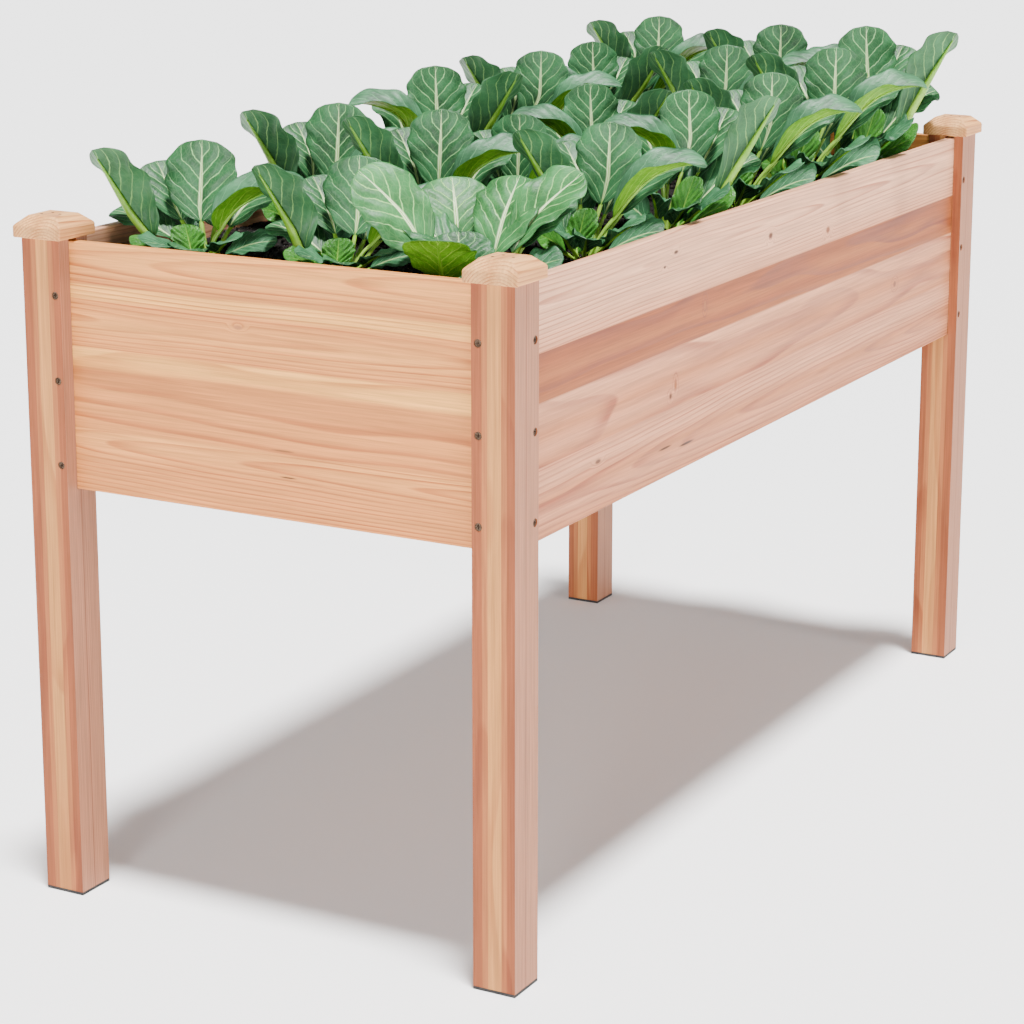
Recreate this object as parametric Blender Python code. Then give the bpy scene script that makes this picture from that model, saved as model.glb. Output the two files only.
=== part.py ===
"""Raised wooden planter on four legs, filled with potting mix and planted with leafy greens.

The frame is metres with +Z up. X runs along the length, -Y is the front long side, and the
origin is on the ground under the middle of the planter. Four square posts run the full height.
Each wall is one edge-glued panel whose ends slide into stopped grooves in the posts, where
screws through the posts pin them. Floor slats rest on cleats and a middle beam, and carry a
cloth liner, the potting mix and rows of greens.
"""

import math

import bmesh
import bpy
from mathutils import Matrix, Vector

# Overall sizes
LENGTH = 1.270
WIDTH = 0.580
POST_TOP = 0.717

# Touching pieces keep this gap
TOUCH = 0.0003

# Posts, foot pads and caps
POST_SIDE = 0.0475
PAD_HEIGHT = 0.003
CAP_OVERHANG = 0.0065
CAP_BAND = 0.0125
CAP_SHOULDER_RISE = 0.0105
CAP_SHOULDER_INSET = 0.012
CAP_EDGE_ROUND = 0.0015

# Wall panels and the grooves that hold them
WALL_THICKNESS = 0.012
WALL_HEIGHT = 0.263
WALL_TOP_DROP = 0.003
END_WALL_RECESS = 0.017
SIDE_WALL_RECESS = 0.0125
GROOVE_DEPTH = 0.014
GROOVE_PLAY = 0.0005
WALL_EDGE_ROUND = 0.001

# Countersunk screws through the posts into the panel ends
SCREW_INSET = 0.0072
SCREW_DROP = 0.055
SCREW_RISE = 0.028
SCREW_COUNT = 3
SCREW_SINK = 0.0010
SCREW_CROSS_GAP = 0.0018
HEAD_RADIUS = 0.0040
HEAD_RIM = 0.0003
HEAD_CONE = 0.0021
SHANK_RADIUS = 0.0021
TIP_LENGTH = 0.005
TIP_RADIUS = 0.0005
BORE_PLAY = 0.0004
RECESS_SPAN = 0.0044
RECESS_WIDTH = 0.0011
RECESS_DEPTH = 0.0014

# Sides of a turned piece, and how far a cutter runs past an open face
ROUND_SEGMENTS = 12
CUT_PAST = 0.001

# Floor of the bed
CLEAT_WIDTH = 0.018
CLEAT_HEIGHT = 0.025
BEAM_WIDTH = 0.030
SLAT_COUNT = 7
SLAT_THICKNESS = 0.012
SLAT_GAP = 0.010
SLAT_PLAY = 0.001

# Liner and potting mix
LINER_PLAY = 0.0010
LINER_THICKNESS = 0.0012
LINER_DROP = 0.004
SOIL_DROP = 0.035

# Greens: rows run across the width, a few plants in each
ROW_COUNT = 6
PLANTS_IN_ROW = 3
ROW_MARGIN = 0.131
PLANT_MARGIN = 0.0915
ROW_CLEARANCE = 0.007
PLANT_MEETING = 0.0045

# The space one plant's leaves fill: (share of its spread, height above the mix)
PLANT_OUTLINE = (
    (0.28, 0.0),
    (0.57, 0.045),
    (1.0, 0.078),
    (0.77, 0.150),
    (0.33, 0.188),
)

# Worked out from the sizes above
HALF_LENGTH = LENGTH / 2
HALF_WIDTH = WIDTH / 2
POST_BASE = PAD_HEIGHT + TOUCH
WALL_TOP = POST_TOP - WALL_TOP_DROP
WALL_BOTTOM = WALL_TOP - WALL_HEIGHT
END_WALL_INNER = HALF_LENGTH - END_WALL_RECESS - WALL_THICKNESS
SIDE_WALL_INNER = HALF_WIDTH - SIDE_WALL_RECESS - WALL_THICKNESS
POST_INNER_X = HALF_LENGTH - POST_SIDE
POST_INNER_Y = HALF_WIDTH - POST_SIDE
SCREW_REACH = POST_SIDE - SCREW_INSET - SHANK_RADIUS - BORE_PLAY - SCREW_CROSS_GAP
CLEAT_TOP = WALL_BOTTOM + CLEAT_HEIGHT
SLAT_BOTTOM = CLEAT_TOP + TOUCH
SLAT_TOP = SLAT_BOTTOM + SLAT_THICKNESS
LINER_BOTTOM = SLAT_TOP + TOUCH
SOIL_TOP = WALL_TOP - SOIL_DROP
LINER_TOP = SOIL_TOP - LINER_DROP
ROW_PITCH = 2 * (END_WALL_INNER - ROW_MARGIN) / (ROW_COUNT - 1)
PLANT_PITCH = 2 * (SIDE_WALL_INNER - PLANT_MARGIN) / (PLANTS_IN_ROW - 1)

CORNERS = {
    "front_left": (-1, -1),
    "front_right": (1, -1),
    "back_left": (-1, 1),
    "back_right": (1, 1),
}


def clear_scene():
    """Removes every object that the file opened with."""
    for thing in list(bpy.data.objects):
        bpy.data.objects.remove(thing, do_unlink=True)


def make_material(name, color, roughness, metallic=0.0):
    """Makes a Principled BSDF material. The colour is linear RGB."""
    material = bpy.data.materials.new(name)
    material.use_nodes = True
    shader = material.node_tree.nodes["Principled BSDF"]
    shader.inputs["Base Color"].default_value = (*color, 1.0)
    shader.inputs["Roughness"].default_value = roughness
    shader.inputs["Metallic"].default_value = metallic
    material.diffuse_color = (*color, 1.0)
    return material


def add_object(name, mesh, material=None, location=(0.0, 0.0, 0.0)):
    """Links a mesh into the scene as a named object at a place."""
    thing = bpy.data.objects.new(name, mesh)
    bpy.context.collection.objects.link(thing)
    thing.location = location
    if material is not None and not mesh.materials:
        mesh.materials.append(material)
    return thing


def finish_mesh(name, work):
    """Turns a bmesh into a mesh whose faces point outwards."""
    bmesh.ops.recalc_face_normals(work, faces=work.faces)
    mesh = bpy.data.meshes.new(name)
    work.to_mesh(mesh)
    work.free()
    return mesh


def add_box(work, low, high):
    """Adds a box between two corners to a bmesh."""
    low, high = Vector(low), Vector(high)
    size = high - low
    place = Matrix.Translation((low + high) / 2) @ Matrix.Diagonal((*size, 1.0))
    bmesh.ops.create_cube(work, size=1.0, matrix=place)


def box_mesh(name, low, high):
    """Makes a mesh that is one box."""
    work = bmesh.new()
    add_box(work, low, high)
    return finish_mesh(name, work)


def add_turned(work, profile, place):
    """Adds a solid turned about local Z from (radius, z) points, both ends closed by flat faces."""
    rings = []
    for radius, height in profile:
        ring = []
        for step in range(ROUND_SEGMENTS):
            angle = 2 * math.pi * (step + 0.5) / ROUND_SEGMENTS
            point = Vector((radius * math.cos(angle), radius * math.sin(angle), height))
            ring.append(work.verts.new(place @ point))
        rings.append(ring)
    for lower, upper in zip(rings, rings[1:]):
        for step in range(ROUND_SEGMENTS):
            after = (step + 1) % ROUND_SEGMENTS
            work.faces.new((lower[step], lower[after], upper[after], upper[step]))
    work.faces.new(list(reversed(rings[0])))
    work.faces.new(rings[-1])


def prism_mesh(name, outline, low, high):
    """Makes a prism from an outline of (x, y) points between two heights."""
    work = bmesh.new()
    base = work.faces.new([work.verts.new((x, y, low)) for x, y in outline])
    grown = bmesh.ops.extrude_face_region(work, geom=[base])
    risen = [item for item in grown["geom"] if isinstance(item, bmesh.types.BMVert)]
    bmesh.ops.translate(work, verts=risen, vec=(0.0, 0.0, high - low))
    return finish_mesh(name, work)


def hide_cutter(cutter):
    """Marks an object as a cutter, which the model leaves out."""
    cutter.hide_render = True
    cutter.display_type = "WIRE"


def cut(thing, cutter, operation="DIFFERENCE"):
    """Adds an exact Boolean of a hidden cutter to an object."""
    hide_cutter(cutter)
    modifier = thing.modifiers.new(cutter.name, "BOOLEAN")
    modifier.operation = operation
    modifier.solver = "EXACT"
    modifier.object = cutter


def round_edges(thing, width, segments):
    """Rounds an object's sharp edges."""
    modifier = thing.modifiers.new("round", "BEVEL")
    modifier.width = width
    modifier.segments = segments
    modifier.limit_method = "ANGLE"
    modifier.angle_limit = math.radians(30)


def screw_heights():
    """Heights of the screws in a post, evenly spaced between the first and the last."""
    first = WALL_TOP - SCREW_DROP
    last = WALL_BOTTOM + SCREW_RISE
    return [first + (last - first) * step / (SCREW_COUNT - 1) for step in range(SCREW_COUNT)]


def screw_places(side_x, side_y):
    """Places one post's screws: (name, matrix) with the head at the origin and the tip along +Z.

    The end-wall screws go in from the end face along X, the side-wall screws from the long
    face along Y, both close to the post's inner edge so that they pass through a panel end.
    """
    places = []
    along_x = HALF_LENGTH - POST_SIDE + SCREW_INSET
    along_y = HALF_WIDTH - POST_SIDE + SCREW_INSET
    into_x = Matrix.Rotation(math.radians(-90 * side_x), 4, "Y")
    into_y = Matrix.Rotation(math.radians(90 * side_y), 4, "X")
    for number, height in enumerate(screw_heights(), start=1):
        end_spot = Matrix.Translation((side_x * HALF_LENGTH, side_y * along_y, height))
        side_spot = Matrix.Translation((side_x * along_x, side_y * HALF_WIDTH, height))
        places.append((f"end_{number}", end_spot @ into_x))
        places.append((f"side_{number}", side_spot @ into_y))
    return places


def screw_profile():
    """Outline of a countersunk wood screw from the head's top to the tip, along local Z.

    The tip stops short of the screw that crosses it from the post's other face.
    """
    head_base = SCREW_SINK + HEAD_RIM + HEAD_CONE
    return [
        (HEAD_RADIUS, SCREW_SINK),
        (HEAD_RADIUS, SCREW_SINK + HEAD_RIM),
        (SHANK_RADIUS, head_base),
        (SHANK_RADIUS, SCREW_REACH - TIP_LENGTH),
        (TIP_RADIUS, SCREW_REACH),
    ]


def bore_profile():
    """Outline of a countersunk hole that clears the screw, from outside the post inwards."""
    mouth = HEAD_RADIUS + BORE_PLAY
    shank = SHANK_RADIUS + BORE_PLAY
    seat = SCREW_SINK + HEAD_RIM + BORE_PLAY
    return [
        (mouth, -CUT_PAST),
        (mouth, seat),
        (shank, seat + HEAD_CONE),
        (shank, SCREW_REACH + BORE_PLAY),
    ]


def wall_bore_profile():
    """Outline of the straight hole that a screw takes through a panel end."""
    shank = SHANK_RADIUS + BORE_PLAY
    return [(shank, SCREW_SINK + HEAD_CONE), (shank, SCREW_REACH)]


def turned_cutter(name, profile, places):
    """Makes one cutter with the same turned solid at each place."""
    work = bmesh.new()
    for place in places:
        add_turned(work, profile, place)
    return add_object(name, finish_mesh(name, work))


def groove_boxes(side_x, side_y):
    """Low and high corners of a post's two grooves, open at the top and stopped under the panel."""
    top = POST_TOP + CUT_PAST
    bottom = WALL_BOTTOM - TOUCH
    deep_x = POST_INNER_X + GROOVE_DEPTH
    deep_y = POST_INNER_Y + GROOVE_DEPTH
    past_x = POST_INNER_X - CUT_PAST
    past_y = POST_INNER_Y - CUT_PAST
    end_span = (END_WALL_INNER - GROOVE_PLAY, END_WALL_INNER + WALL_THICKNESS + GROOVE_PLAY)
    side_span = (SIDE_WALL_INNER - GROOVE_PLAY, SIDE_WALL_INNER + WALL_THICKNESS + GROOVE_PLAY)
    boxes = []
    for (x0, x1), (y0, y1) in ((end_span, (past_y, deep_y)), ((past_x, deep_x), side_span)):
        xs = sorted((side_x * x0, side_x * x1))
        ys = sorted((side_y * y0, side_y * y1))
        boxes.append(((xs[0], ys[0], bottom), (xs[1], ys[1], top)))
    return boxes


def build_posts(material):
    """Builds the four posts with their panel grooves and screw holes."""
    for corner, (side_x, side_y) in CORNERS.items():
        xs = sorted((side_x * POST_INNER_X, side_x * HALF_LENGTH))
        ys = sorted((side_y * POST_INNER_Y, side_y * HALF_WIDTH))
        low = (xs[0], ys[0], POST_BASE)
        high = (xs[1], ys[1], POST_TOP)
        post = add_object(f"post_{corner}", box_mesh(f"post_{corner}", low, high), material)
        work = bmesh.new()
        for box_low, box_high in groove_boxes(side_x, side_y):
            add_box(work, box_low, box_high)
        grooves = f"grooves_{corner}"
        cut(post, add_object(grooves, finish_mesh(grooves, work)))
        places = [place for _, place in screw_places(side_x, side_y)]
        cut(post, turned_cutter(f"bores_{corner}", bore_profile(), places))


def build_pads(material):
    """Builds the thin foot pads under the posts."""
    half = POST_SIDE / 2
    mesh = box_mesh("foot_pad", (-half, -half, 0.0), (half, half, PAD_HEIGHT))
    for corner, (side_x, side_y) in CORNERS.items():
        spot = (side_x * (HALF_LENGTH - half), side_y * (HALF_WIDTH - half), 0.0)
        add_object(f"foot_pad_{corner}", mesh, material, spot)


def build_caps(material):
    """Builds the post caps: a square band, then shoulders sloping up to a flat top."""
    half = POST_SIDE / 2 + CAP_OVERHANG
    work = bmesh.new()
    add_box(work, (-half, -half, 0.0), (half, half, CAP_BAND))
    top = max(work.faces, key=lambda face: face.calc_center_median().z)
    grown = bmesh.ops.extrude_face_region(work, geom=[top])
    risen = [item for item in grown["geom"] if isinstance(item, bmesh.types.BMVert)]
    bmesh.ops.delete(work, geom=[top], context="FACES_ONLY")
    shrink = (half - CAP_SHOULDER_INSET) / half
    bmesh.ops.scale(work, verts=risen, vec=(shrink, shrink, 1.0))
    bmesh.ops.translate(work, verts=risen, vec=(0.0, 0.0, CAP_SHOULDER_RISE))
    mesh = finish_mesh("cap", work)
    for corner, (side_x, side_y) in CORNERS.items():
        center = POST_SIDE / 2
        spot = (side_x * (HALF_LENGTH - center), side_y * (HALF_WIDTH - center), POST_TOP + TOUCH)
        cap = add_object(f"cap_{corner}", mesh, material, spot)
        round_edges(cap, CAP_EDGE_ROUND, 2)


def build_walls(material):
    """Builds the two end walls and the two side walls, with screw holes in their tongues."""
    tongue = GROOVE_DEPTH - GROOVE_PLAY
    span_x = POST_INNER_X + tongue
    span_y = POST_INNER_Y + tongue
    end_outer = END_WALL_INNER + WALL_THICKNESS
    side_outer = SIDE_WALL_INNER + WALL_THICKNESS
    walls = {
        "end_wall_left": ((-end_outer, -span_y), (-END_WALL_INNER, span_y), ("end", -1, None)),
        "end_wall_right": ((END_WALL_INNER, -span_y), (end_outer, span_y), ("end", 1, None)),
        "side_wall_front": ((-span_x, -side_outer), (span_x, -SIDE_WALL_INNER), ("side", None, -1)),
        "side_wall_back": ((-span_x, SIDE_WALL_INNER), (span_x, side_outer), ("side", None, 1)),
    }
    for name, (low, high, (kind, only_x, only_y)) in walls.items():
        mesh = box_mesh(name, (*low, WALL_BOTTOM), (*high, WALL_TOP))
        wall = add_object(name, mesh, material)
        round_edges(wall, WALL_EDGE_ROUND, 1)
        places = []
        for side_x, side_y in CORNERS.values():
            if only_x not in (None, side_x) or only_y not in (None, side_y):
                continue
            places += [spot for label, spot in screw_places(side_x, side_y) if label.startswith(kind)]
        cut(wall, turned_cutter(f"bores_{name}", wall_bore_profile(), places))


def build_screws(material):
    """Builds the countersunk screws with a crossed driver recess."""
    work = bmesh.new()
    add_turned(work, screw_profile(), Matrix.Identity(4))
    mesh = finish_mesh("screw", work)
    half = RECESS_SPAN / 2
    thin = RECESS_WIDTH / 2
    cross = [
        (half, thin), (thin, thin), (thin, half), (-thin, half), (-thin, thin), (-half, thin),
        (-half, -thin), (-thin, -thin), (-thin, -half), (thin, -half), (thin, -thin), (half, -thin),
    ]
    recess = prism_mesh("driver_recess", cross, SCREW_SINK - CUT_PAST, SCREW_SINK + RECESS_DEPTH)
    for corner, (side_x, side_y) in CORNERS.items():
        for label, place in screw_places(side_x, side_y):
            name = f"screw_{corner}_{label}"
            screw = add_object(name, mesh, material)
            screw.matrix_world = place
            cutter = add_object(f"recess_{corner}_{label}", recess)
            cutter.matrix_world = place
            cut(screw, cutter)


def build_floor(material):
    """Builds the cleats, the middle beam and the slats that carry the bed."""
    reach = POST_INNER_X - TOUCH
    for name, side in (("cleat_front", -1), ("cleat_back", 1)):
        outer = SIDE_WALL_INNER - TOUCH
        ys = sorted((side * (outer - CLEAT_WIDTH), side * outer))
        mesh = box_mesh(name, (-reach, ys[0], WALL_BOTTOM), (reach, ys[1], CLEAT_TOP))
        add_object(name, mesh, material)
    beam_end = END_WALL_INNER - TOUCH
    low = (-beam_end, -BEAM_WIDTH / 2, WALL_BOTTOM)
    high = (beam_end, BEAM_WIDTH / 2, CLEAT_TOP)
    add_object("middle_beam", box_mesh("middle_beam", low, high), material)

    field = END_WALL_INNER - SLAT_PLAY
    width = (2 * field - (SLAT_COUNT - 1) * SLAT_GAP) / SLAT_COUNT
    for number in range(SLAT_COUNT):
        start = -field + number * (width + SLAT_GAP)
        outline = slat_outline(start, start + width)
        name = f"floor_slat_{number + 1}"
        add_object(name, prism_mesh(name, outline, SLAT_BOTTOM, SLAT_TOP), material)


def slat_outline(start, stop):
    """Outline of one slat from wall to wall, notched round the posts at the ends of the bed."""
    long_y = SIDE_WALL_INNER - SLAT_PLAY
    short_y = POST_INNER_Y - SLAT_PLAY
    clear_x = POST_INNER_X - SLAT_PLAY
    if start < -clear_x:
        return [
            (start, -short_y), (-clear_x, -short_y), (-clear_x, -long_y), (stop, -long_y),
            (stop, long_y), (-clear_x, long_y), (-clear_x, short_y), (start, short_y),
        ]
    if stop > clear_x:
        return [
            (start, -long_y), (clear_x, -long_y), (clear_x, -short_y), (stop, -short_y),
            (stop, short_y), (clear_x, short_y), (clear_x, long_y), (start, long_y),
        ]
    return [(start, -long_y), (stop, -long_y), (stop, long_y), (start, long_y)]


def bed_outline(margin):
    """Outline of the bed's inside, notched round the four posts, pulled in by a margin."""
    long_x = END_WALL_INNER - margin
    long_y = SIDE_WALL_INNER - margin
    short_x = POST_INNER_X - margin
    short_y = POST_INNER_Y - margin
    return [
        (long_x, -short_y), (long_x, short_y), (short_x, short_y), (short_x, long_y),
        (-short_x, long_y), (-short_x, short_y), (-long_x, short_y), (-long_x, -short_y),
        (-short_x, -short_y), (-short_x, -long_y), (short_x, -long_y), (short_x, -short_y),
    ]


def build_bed(liner_material, soil_material):
    """Builds the open liner tray and the potting mix inside it."""
    outer = bed_outline(LINER_PLAY)
    liner = add_object("liner", prism_mesh("liner", outer, LINER_BOTTOM, LINER_TOP), liner_material)
    inner = bed_outline(LINER_PLAY + LINER_THICKNESS)
    floor = LINER_BOTTOM + LINER_THICKNESS
    hollow = prism_mesh("liner_hollow", inner, floor, LINER_TOP + CUT_PAST)
    cut(liner, add_object("liner_hollow", hollow))

    filled = bed_outline(LINER_PLAY + LINER_THICKNESS + TOUCH)
    mesh = prism_mesh("potting_mix", filled, floor + TOUCH, SOIL_TOP)
    add_object("potting_mix", mesh, soil_material)


def build_greens(material):
    """Builds the rows of greens: each row's plants grow into each other and clear the next row."""
    spread_x = (ROW_PITCH - ROW_CLEARANCE) / 2
    spread_y = PLANT_PITCH / 2 + PLANT_MEETING
    work = bmesh.new()
    add_turned(work, PLANT_OUTLINE, Matrix.Diagonal((spread_x, spread_y, 1.0, 1.0)))
    mesh = finish_mesh("plant", work)
    mesh.shade_smooth()
    for row in range(ROW_COUNT):
        x = (row - (ROW_COUNT - 1) / 2) * ROW_PITCH
        spots = []
        for place in range(PLANTS_IN_ROW):
            y = (place - (PLANTS_IN_ROW - 1) / 2) * PLANT_PITCH
            spots.append((x, y, SOIL_TOP + TOUCH))
        spots.sort(key=lambda spot: abs(spot[1]))
        greens = add_object(f"greens_row_{row + 1}", mesh, material, spots[0])
        for number, spot in enumerate(spots[1:], start=1):
            cut(greens, add_object(f"grown_{row + 1}_{number}", mesh, None, spot), "UNION")


def main():
    """Builds the whole planter."""
    clear_scene()
    post_wood = make_material("post_wood", (0.72, 0.43, 0.27), 0.55)
    wall_wood = make_material("wall_wood", (0.80, 0.52, 0.34), 0.55)
    cap_wood = make_material("cap_wood", (0.80, 0.56, 0.38), 0.6)
    frame_wood = make_material("floor_wood", (0.66, 0.42, 0.26), 0.65)
    build_posts(post_wood)
    build_pads(make_material("foot_rubber", (0.02, 0.02, 0.02), 0.8))
    build_caps(cap_wood)
    build_walls(wall_wood)
    build_screws(make_material("screw_steel", (0.16, 0.12, 0.09), 0.4, 1.0))
    build_floor(frame_wood)
    liner_cloth = make_material("liner_cloth", (0.03, 0.03, 0.03), 0.9)
    build_bed(liner_cloth, make_material("potting_mix", (0.015, 0.012, 0.012), 0.95))
    build_greens(make_material("leaf", (0.10, 0.25, 0.12), 0.45))


main()
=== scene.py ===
"""Looks of a raised fir planter: its timber, hardware, liner, potting mix and leafy greens.

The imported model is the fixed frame: posts, walls, caps, slats and screws keep its solids and get
their finishes here. The liner, the potting mix and the greens are made as fine surfaces in the
space that their solids hold.
"""

import logging
from collections.abc import Iterable, Sequence
from dataclasses import dataclass, replace
from enum import Enum

import bpy
import numpy as np
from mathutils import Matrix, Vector


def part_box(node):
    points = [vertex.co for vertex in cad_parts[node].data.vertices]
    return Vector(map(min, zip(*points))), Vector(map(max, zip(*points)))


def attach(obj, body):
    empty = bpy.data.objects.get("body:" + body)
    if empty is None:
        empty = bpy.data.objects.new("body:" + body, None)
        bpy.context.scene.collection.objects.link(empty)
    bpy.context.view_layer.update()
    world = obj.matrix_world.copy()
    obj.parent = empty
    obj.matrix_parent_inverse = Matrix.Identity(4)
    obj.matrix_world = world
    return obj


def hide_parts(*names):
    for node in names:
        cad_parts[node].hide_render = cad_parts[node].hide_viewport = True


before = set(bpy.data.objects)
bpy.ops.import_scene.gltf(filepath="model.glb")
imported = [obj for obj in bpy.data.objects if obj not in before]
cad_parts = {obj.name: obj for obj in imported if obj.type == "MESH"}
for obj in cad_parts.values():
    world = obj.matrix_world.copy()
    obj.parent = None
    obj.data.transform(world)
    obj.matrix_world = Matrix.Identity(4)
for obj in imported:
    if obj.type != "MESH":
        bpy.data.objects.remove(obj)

LOG = logging.getLogger("planter")
Grid = np.ndarray


# ---------------------------------------------------------------- shader helpers


def linear(tint: str, alpha: float = 1.0) -> tuple[float, float, float, float]:
    """Turns an sRGB hex colour into linear RGBA.

    Args:
        tint: Six hex digits after a hash sign.
        alpha: The fourth value.

    Returns:
        Linear red, green and blue with alpha.
    """
    channels = [int(tint[i : i + 2], 16) / 255 for i in (1, 3, 5)]
    bent = [c / 12.92 if c <= 0.04045 else ((c + 0.055) / 1.055) ** 2.4 for c in channels]
    return (bent[0], bent[1], bent[2], alpha)


def add_node(
    tree: bpy.types.NodeTree, kind: str, inputs: dict | None = None, **settings: object
) -> bpy.types.Node:
    """Adds a shader node with its settings, values and links.

    Args:
        tree: The material's node tree.
        kind: The node type without its ShaderNode prefix.
        inputs: Input name or index, to a value, a socket, or a node whose first output is linked.
        settings: Attributes of the node, such as operation.

    Returns:
        The new node.
    """
    node = tree.nodes.new(f"ShaderNode{kind}")
    for key, value in settings.items():
        setattr(node, key, value)
    for key, value in (inputs or {}).items():
        if isinstance(value, bpy.types.Node):
            value = value.outputs[0]
        if isinstance(value, bpy.types.NodeSocket):
            tree.links.new(value, node.inputs[key])
        else:
            node.inputs[key].default_value = value
    return node


def set_ramp(
    node: bpy.types.Node, stops: Iterable[tuple[float, Sequence[float]]], mode: str = "LINEAR"
) -> None:
    """Gives a colour ramp its stops.

    Args:
        node: A ColorRamp node.
        stops: (place, linear RGBA) pairs in rising order.
        mode: How the ramp runs between its stops.
    """
    ramp = node.color_ramp
    ramp.interpolation = mode
    stops = list(stops)
    while len(ramp.elements) < len(stops):
        ramp.elements.new(0.5)
    for element, (place, color) in zip(ramp.elements, stops):
        element.position = place
        element.color = color


def grey(value: float) -> tuple[float, float, float, float]:
    """A neutral ramp colour."""
    return (value, value, value, 1.0)


def new_material(name: str) -> tuple[bpy.types.Material, bpy.types.Node]:
    """Makes a node material and returns it with its Principled shader."""
    material = bpy.data.materials.new(name)
    material.use_nodes = True
    return material, material.node_tree.nodes["Principled BSDF"]


def dress(thing: bpy.types.Object, material: bpy.types.Material) -> None:
    """Puts one material in every slot of an object, or in a new slot if it has none."""
    if not thing.material_slots:
        thing.data.materials.append(material)
    for slot in thing.material_slots:
        slot.material = material


# ---------------------------------------------------------------- mesh helpers


def grid_quads(rows: int, columns: int, wrap: bool = False, start: int = 0) -> Grid:
    """Faces of a grid of points.

    Quad (i, j) joins point i * columns + j to its neighbours in the next column and the next
    row, and the last column joins the first one when the grid wraps.

    Args:
        rows: Number of rows of points.
        columns: Number of points in a row.
        wrap: True for a tube.
        start: Index of the grid's first point.

    Returns:
        An (n, 4) array of point indices.
    """
    i, j = np.meshgrid(np.arange(rows - 1), np.arange(columns if wrap else columns - 1), indexing="ij")
    after = (j + 1) % columns
    first, second = i * columns, (i + 1) * columns
    quads = np.stack([first + j, first + after, second + after, second + j], -1)
    return quads.reshape(-1, 4) + start


def capped_tube(rows: int, columns: int) -> Grid:
    """Faces of a tube of rings whose two ends are each closed by a point in the ring's middle.

    The points are rows * columns ring points, then the first end's middle, then the last end's.
    Each closing quad joins the middle to three neighbouring points of its ring.

    Args:
        rows: Number of rings.
        columns: Number of points in a ring, an even number.

    Returns:
        An (n, 4) array of point indices.
    """
    first = np.arange(0, columns, 2)
    fan = np.stack([first, first + 1, (first + 2) % columns], -1)
    count = rows * columns
    near = np.insert(fan[:, ::-1], 0, count, axis=1)
    far = np.insert(fan + count - columns, 0, count + 1, axis=1)
    return np.concatenate([grid_quads(rows, columns, wrap=True), near, far])


class Patchwork:
    """Collects surfaces, with their material slots and UVs, into one mesh."""

    def __init__(self) -> None:
        """Starts with no points and no faces."""
        self.points: list[Grid] = []
        self.faces: list[Grid] = []
        self.slots: list[Grid] = []
        self.uvs: list[Grid] = []
        self.count = 0

    def add(self, points: Grid, quads: Grid, slot: Grid | int, uv: Grid) -> None:
        """Adds a surface.

        Args:
            points: (n, 3) places in metres.
            quads: (m, 4) faces, numbered from this surface's first point.
            slot: Material slot of every face, or one for each face.
            uv: (n, 2) pattern place of each point.
        """
        self.points.append(points)
        self.faces.append(quads + self.count)
        self.slots.append(np.broadcast_to(slot, len(quads)))
        self.uvs.append(uv)
        self.count += len(points)

    def build(self, name: str, materials: Sequence[bpy.types.Material]) -> bpy.types.Object:
        """Makes the object, smooth shaded, with every material in its slot.

        Args:
            name: The object's name.
            materials: The materials in slot order.

        Returns:
            The object, linked into the scene at the origin.
        """
        points = np.concatenate(self.points).astype(np.float32)
        faces = np.concatenate(self.faces).astype(np.int32)
        uv = np.concatenate(self.uvs).astype(np.float32)
        mesh = bpy.data.meshes.new(name)
        mesh.vertices.add(len(points))
        mesh.vertices.foreach_set("co", points.ravel())
        mesh.loops.add(faces.size)
        mesh.loops.foreach_set("vertex_index", faces.ravel())
        mesh.polygons.add(len(faces))
        mesh.polygons.foreach_set("loop_start", np.arange(0, faces.size, 4, dtype=np.int32))
        mesh.polygons.foreach_set("material_index", np.concatenate(self.slots).astype(np.int32))
        layer = mesh.uv_layers.new(name="pattern")
        layer.uv.foreach_set("vector", uv[faces.ravel()].ravel())
        mesh.update(calc_edges=True)
        mesh.validate()
        mesh.shade_smooth()
        for material in materials:
            mesh.materials.append(material)
        thing = bpy.data.objects.new(name, mesh)
        bpy.context.collection.objects.link(thing)
        return thing


# ---------------------------------------------------------------- timber


# Shares of a board's width: half of a glue line's soft edge, the soft edge of sapwood, and how far
# from a glue line the bands run straight
GLUE_CLEAR = 0.002
SAPWOOD_EDGE = 0.02
CALM_REACH = 0.03


class Axis(Enum):
    """A direction of the frame, as the index of its coordinate."""

    X = 0
    Y = 1
    Z = 2


class Tone(Enum):
    """The colours of fir: cream sapwood, peach and pink in between, red-brown heartwood."""

    CREAM = "#dd9d50"
    PEACH = "#d38e4b"
    TAN = "#c67f43"
    HONEY = "#ba763e"
    PALE = "#d19c7b"
    PINK = "#c88c69"
    ROSE = "#be805d"
    CLAY = "#ae6d47"
    RUST = "#9b5930"
    HEART = "#8e4c28"
    POST_CREAM = "#b37a43"
    POST_BROWN = "#9c5e35"
    POST_RED = "#884a2a"
    POST_SIDE = "#9d6b50"
    GLUE = "#7c4b36"
    CAP_PALE = "#dca56a"
    CAP_DARK = "#c98e57"
    SAWN_PALE = "#976741"
    SAWN_DARK = "#895536"


@dataclass(frozen=True)
class Blemish:
    """A knot or a pitch streak: its place along the grain and across it, its size and its colour."""

    along: float
    across: float
    length: float
    width: float
    tint: str = "#6b3d22"
    swirl: float = 0.0


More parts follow.
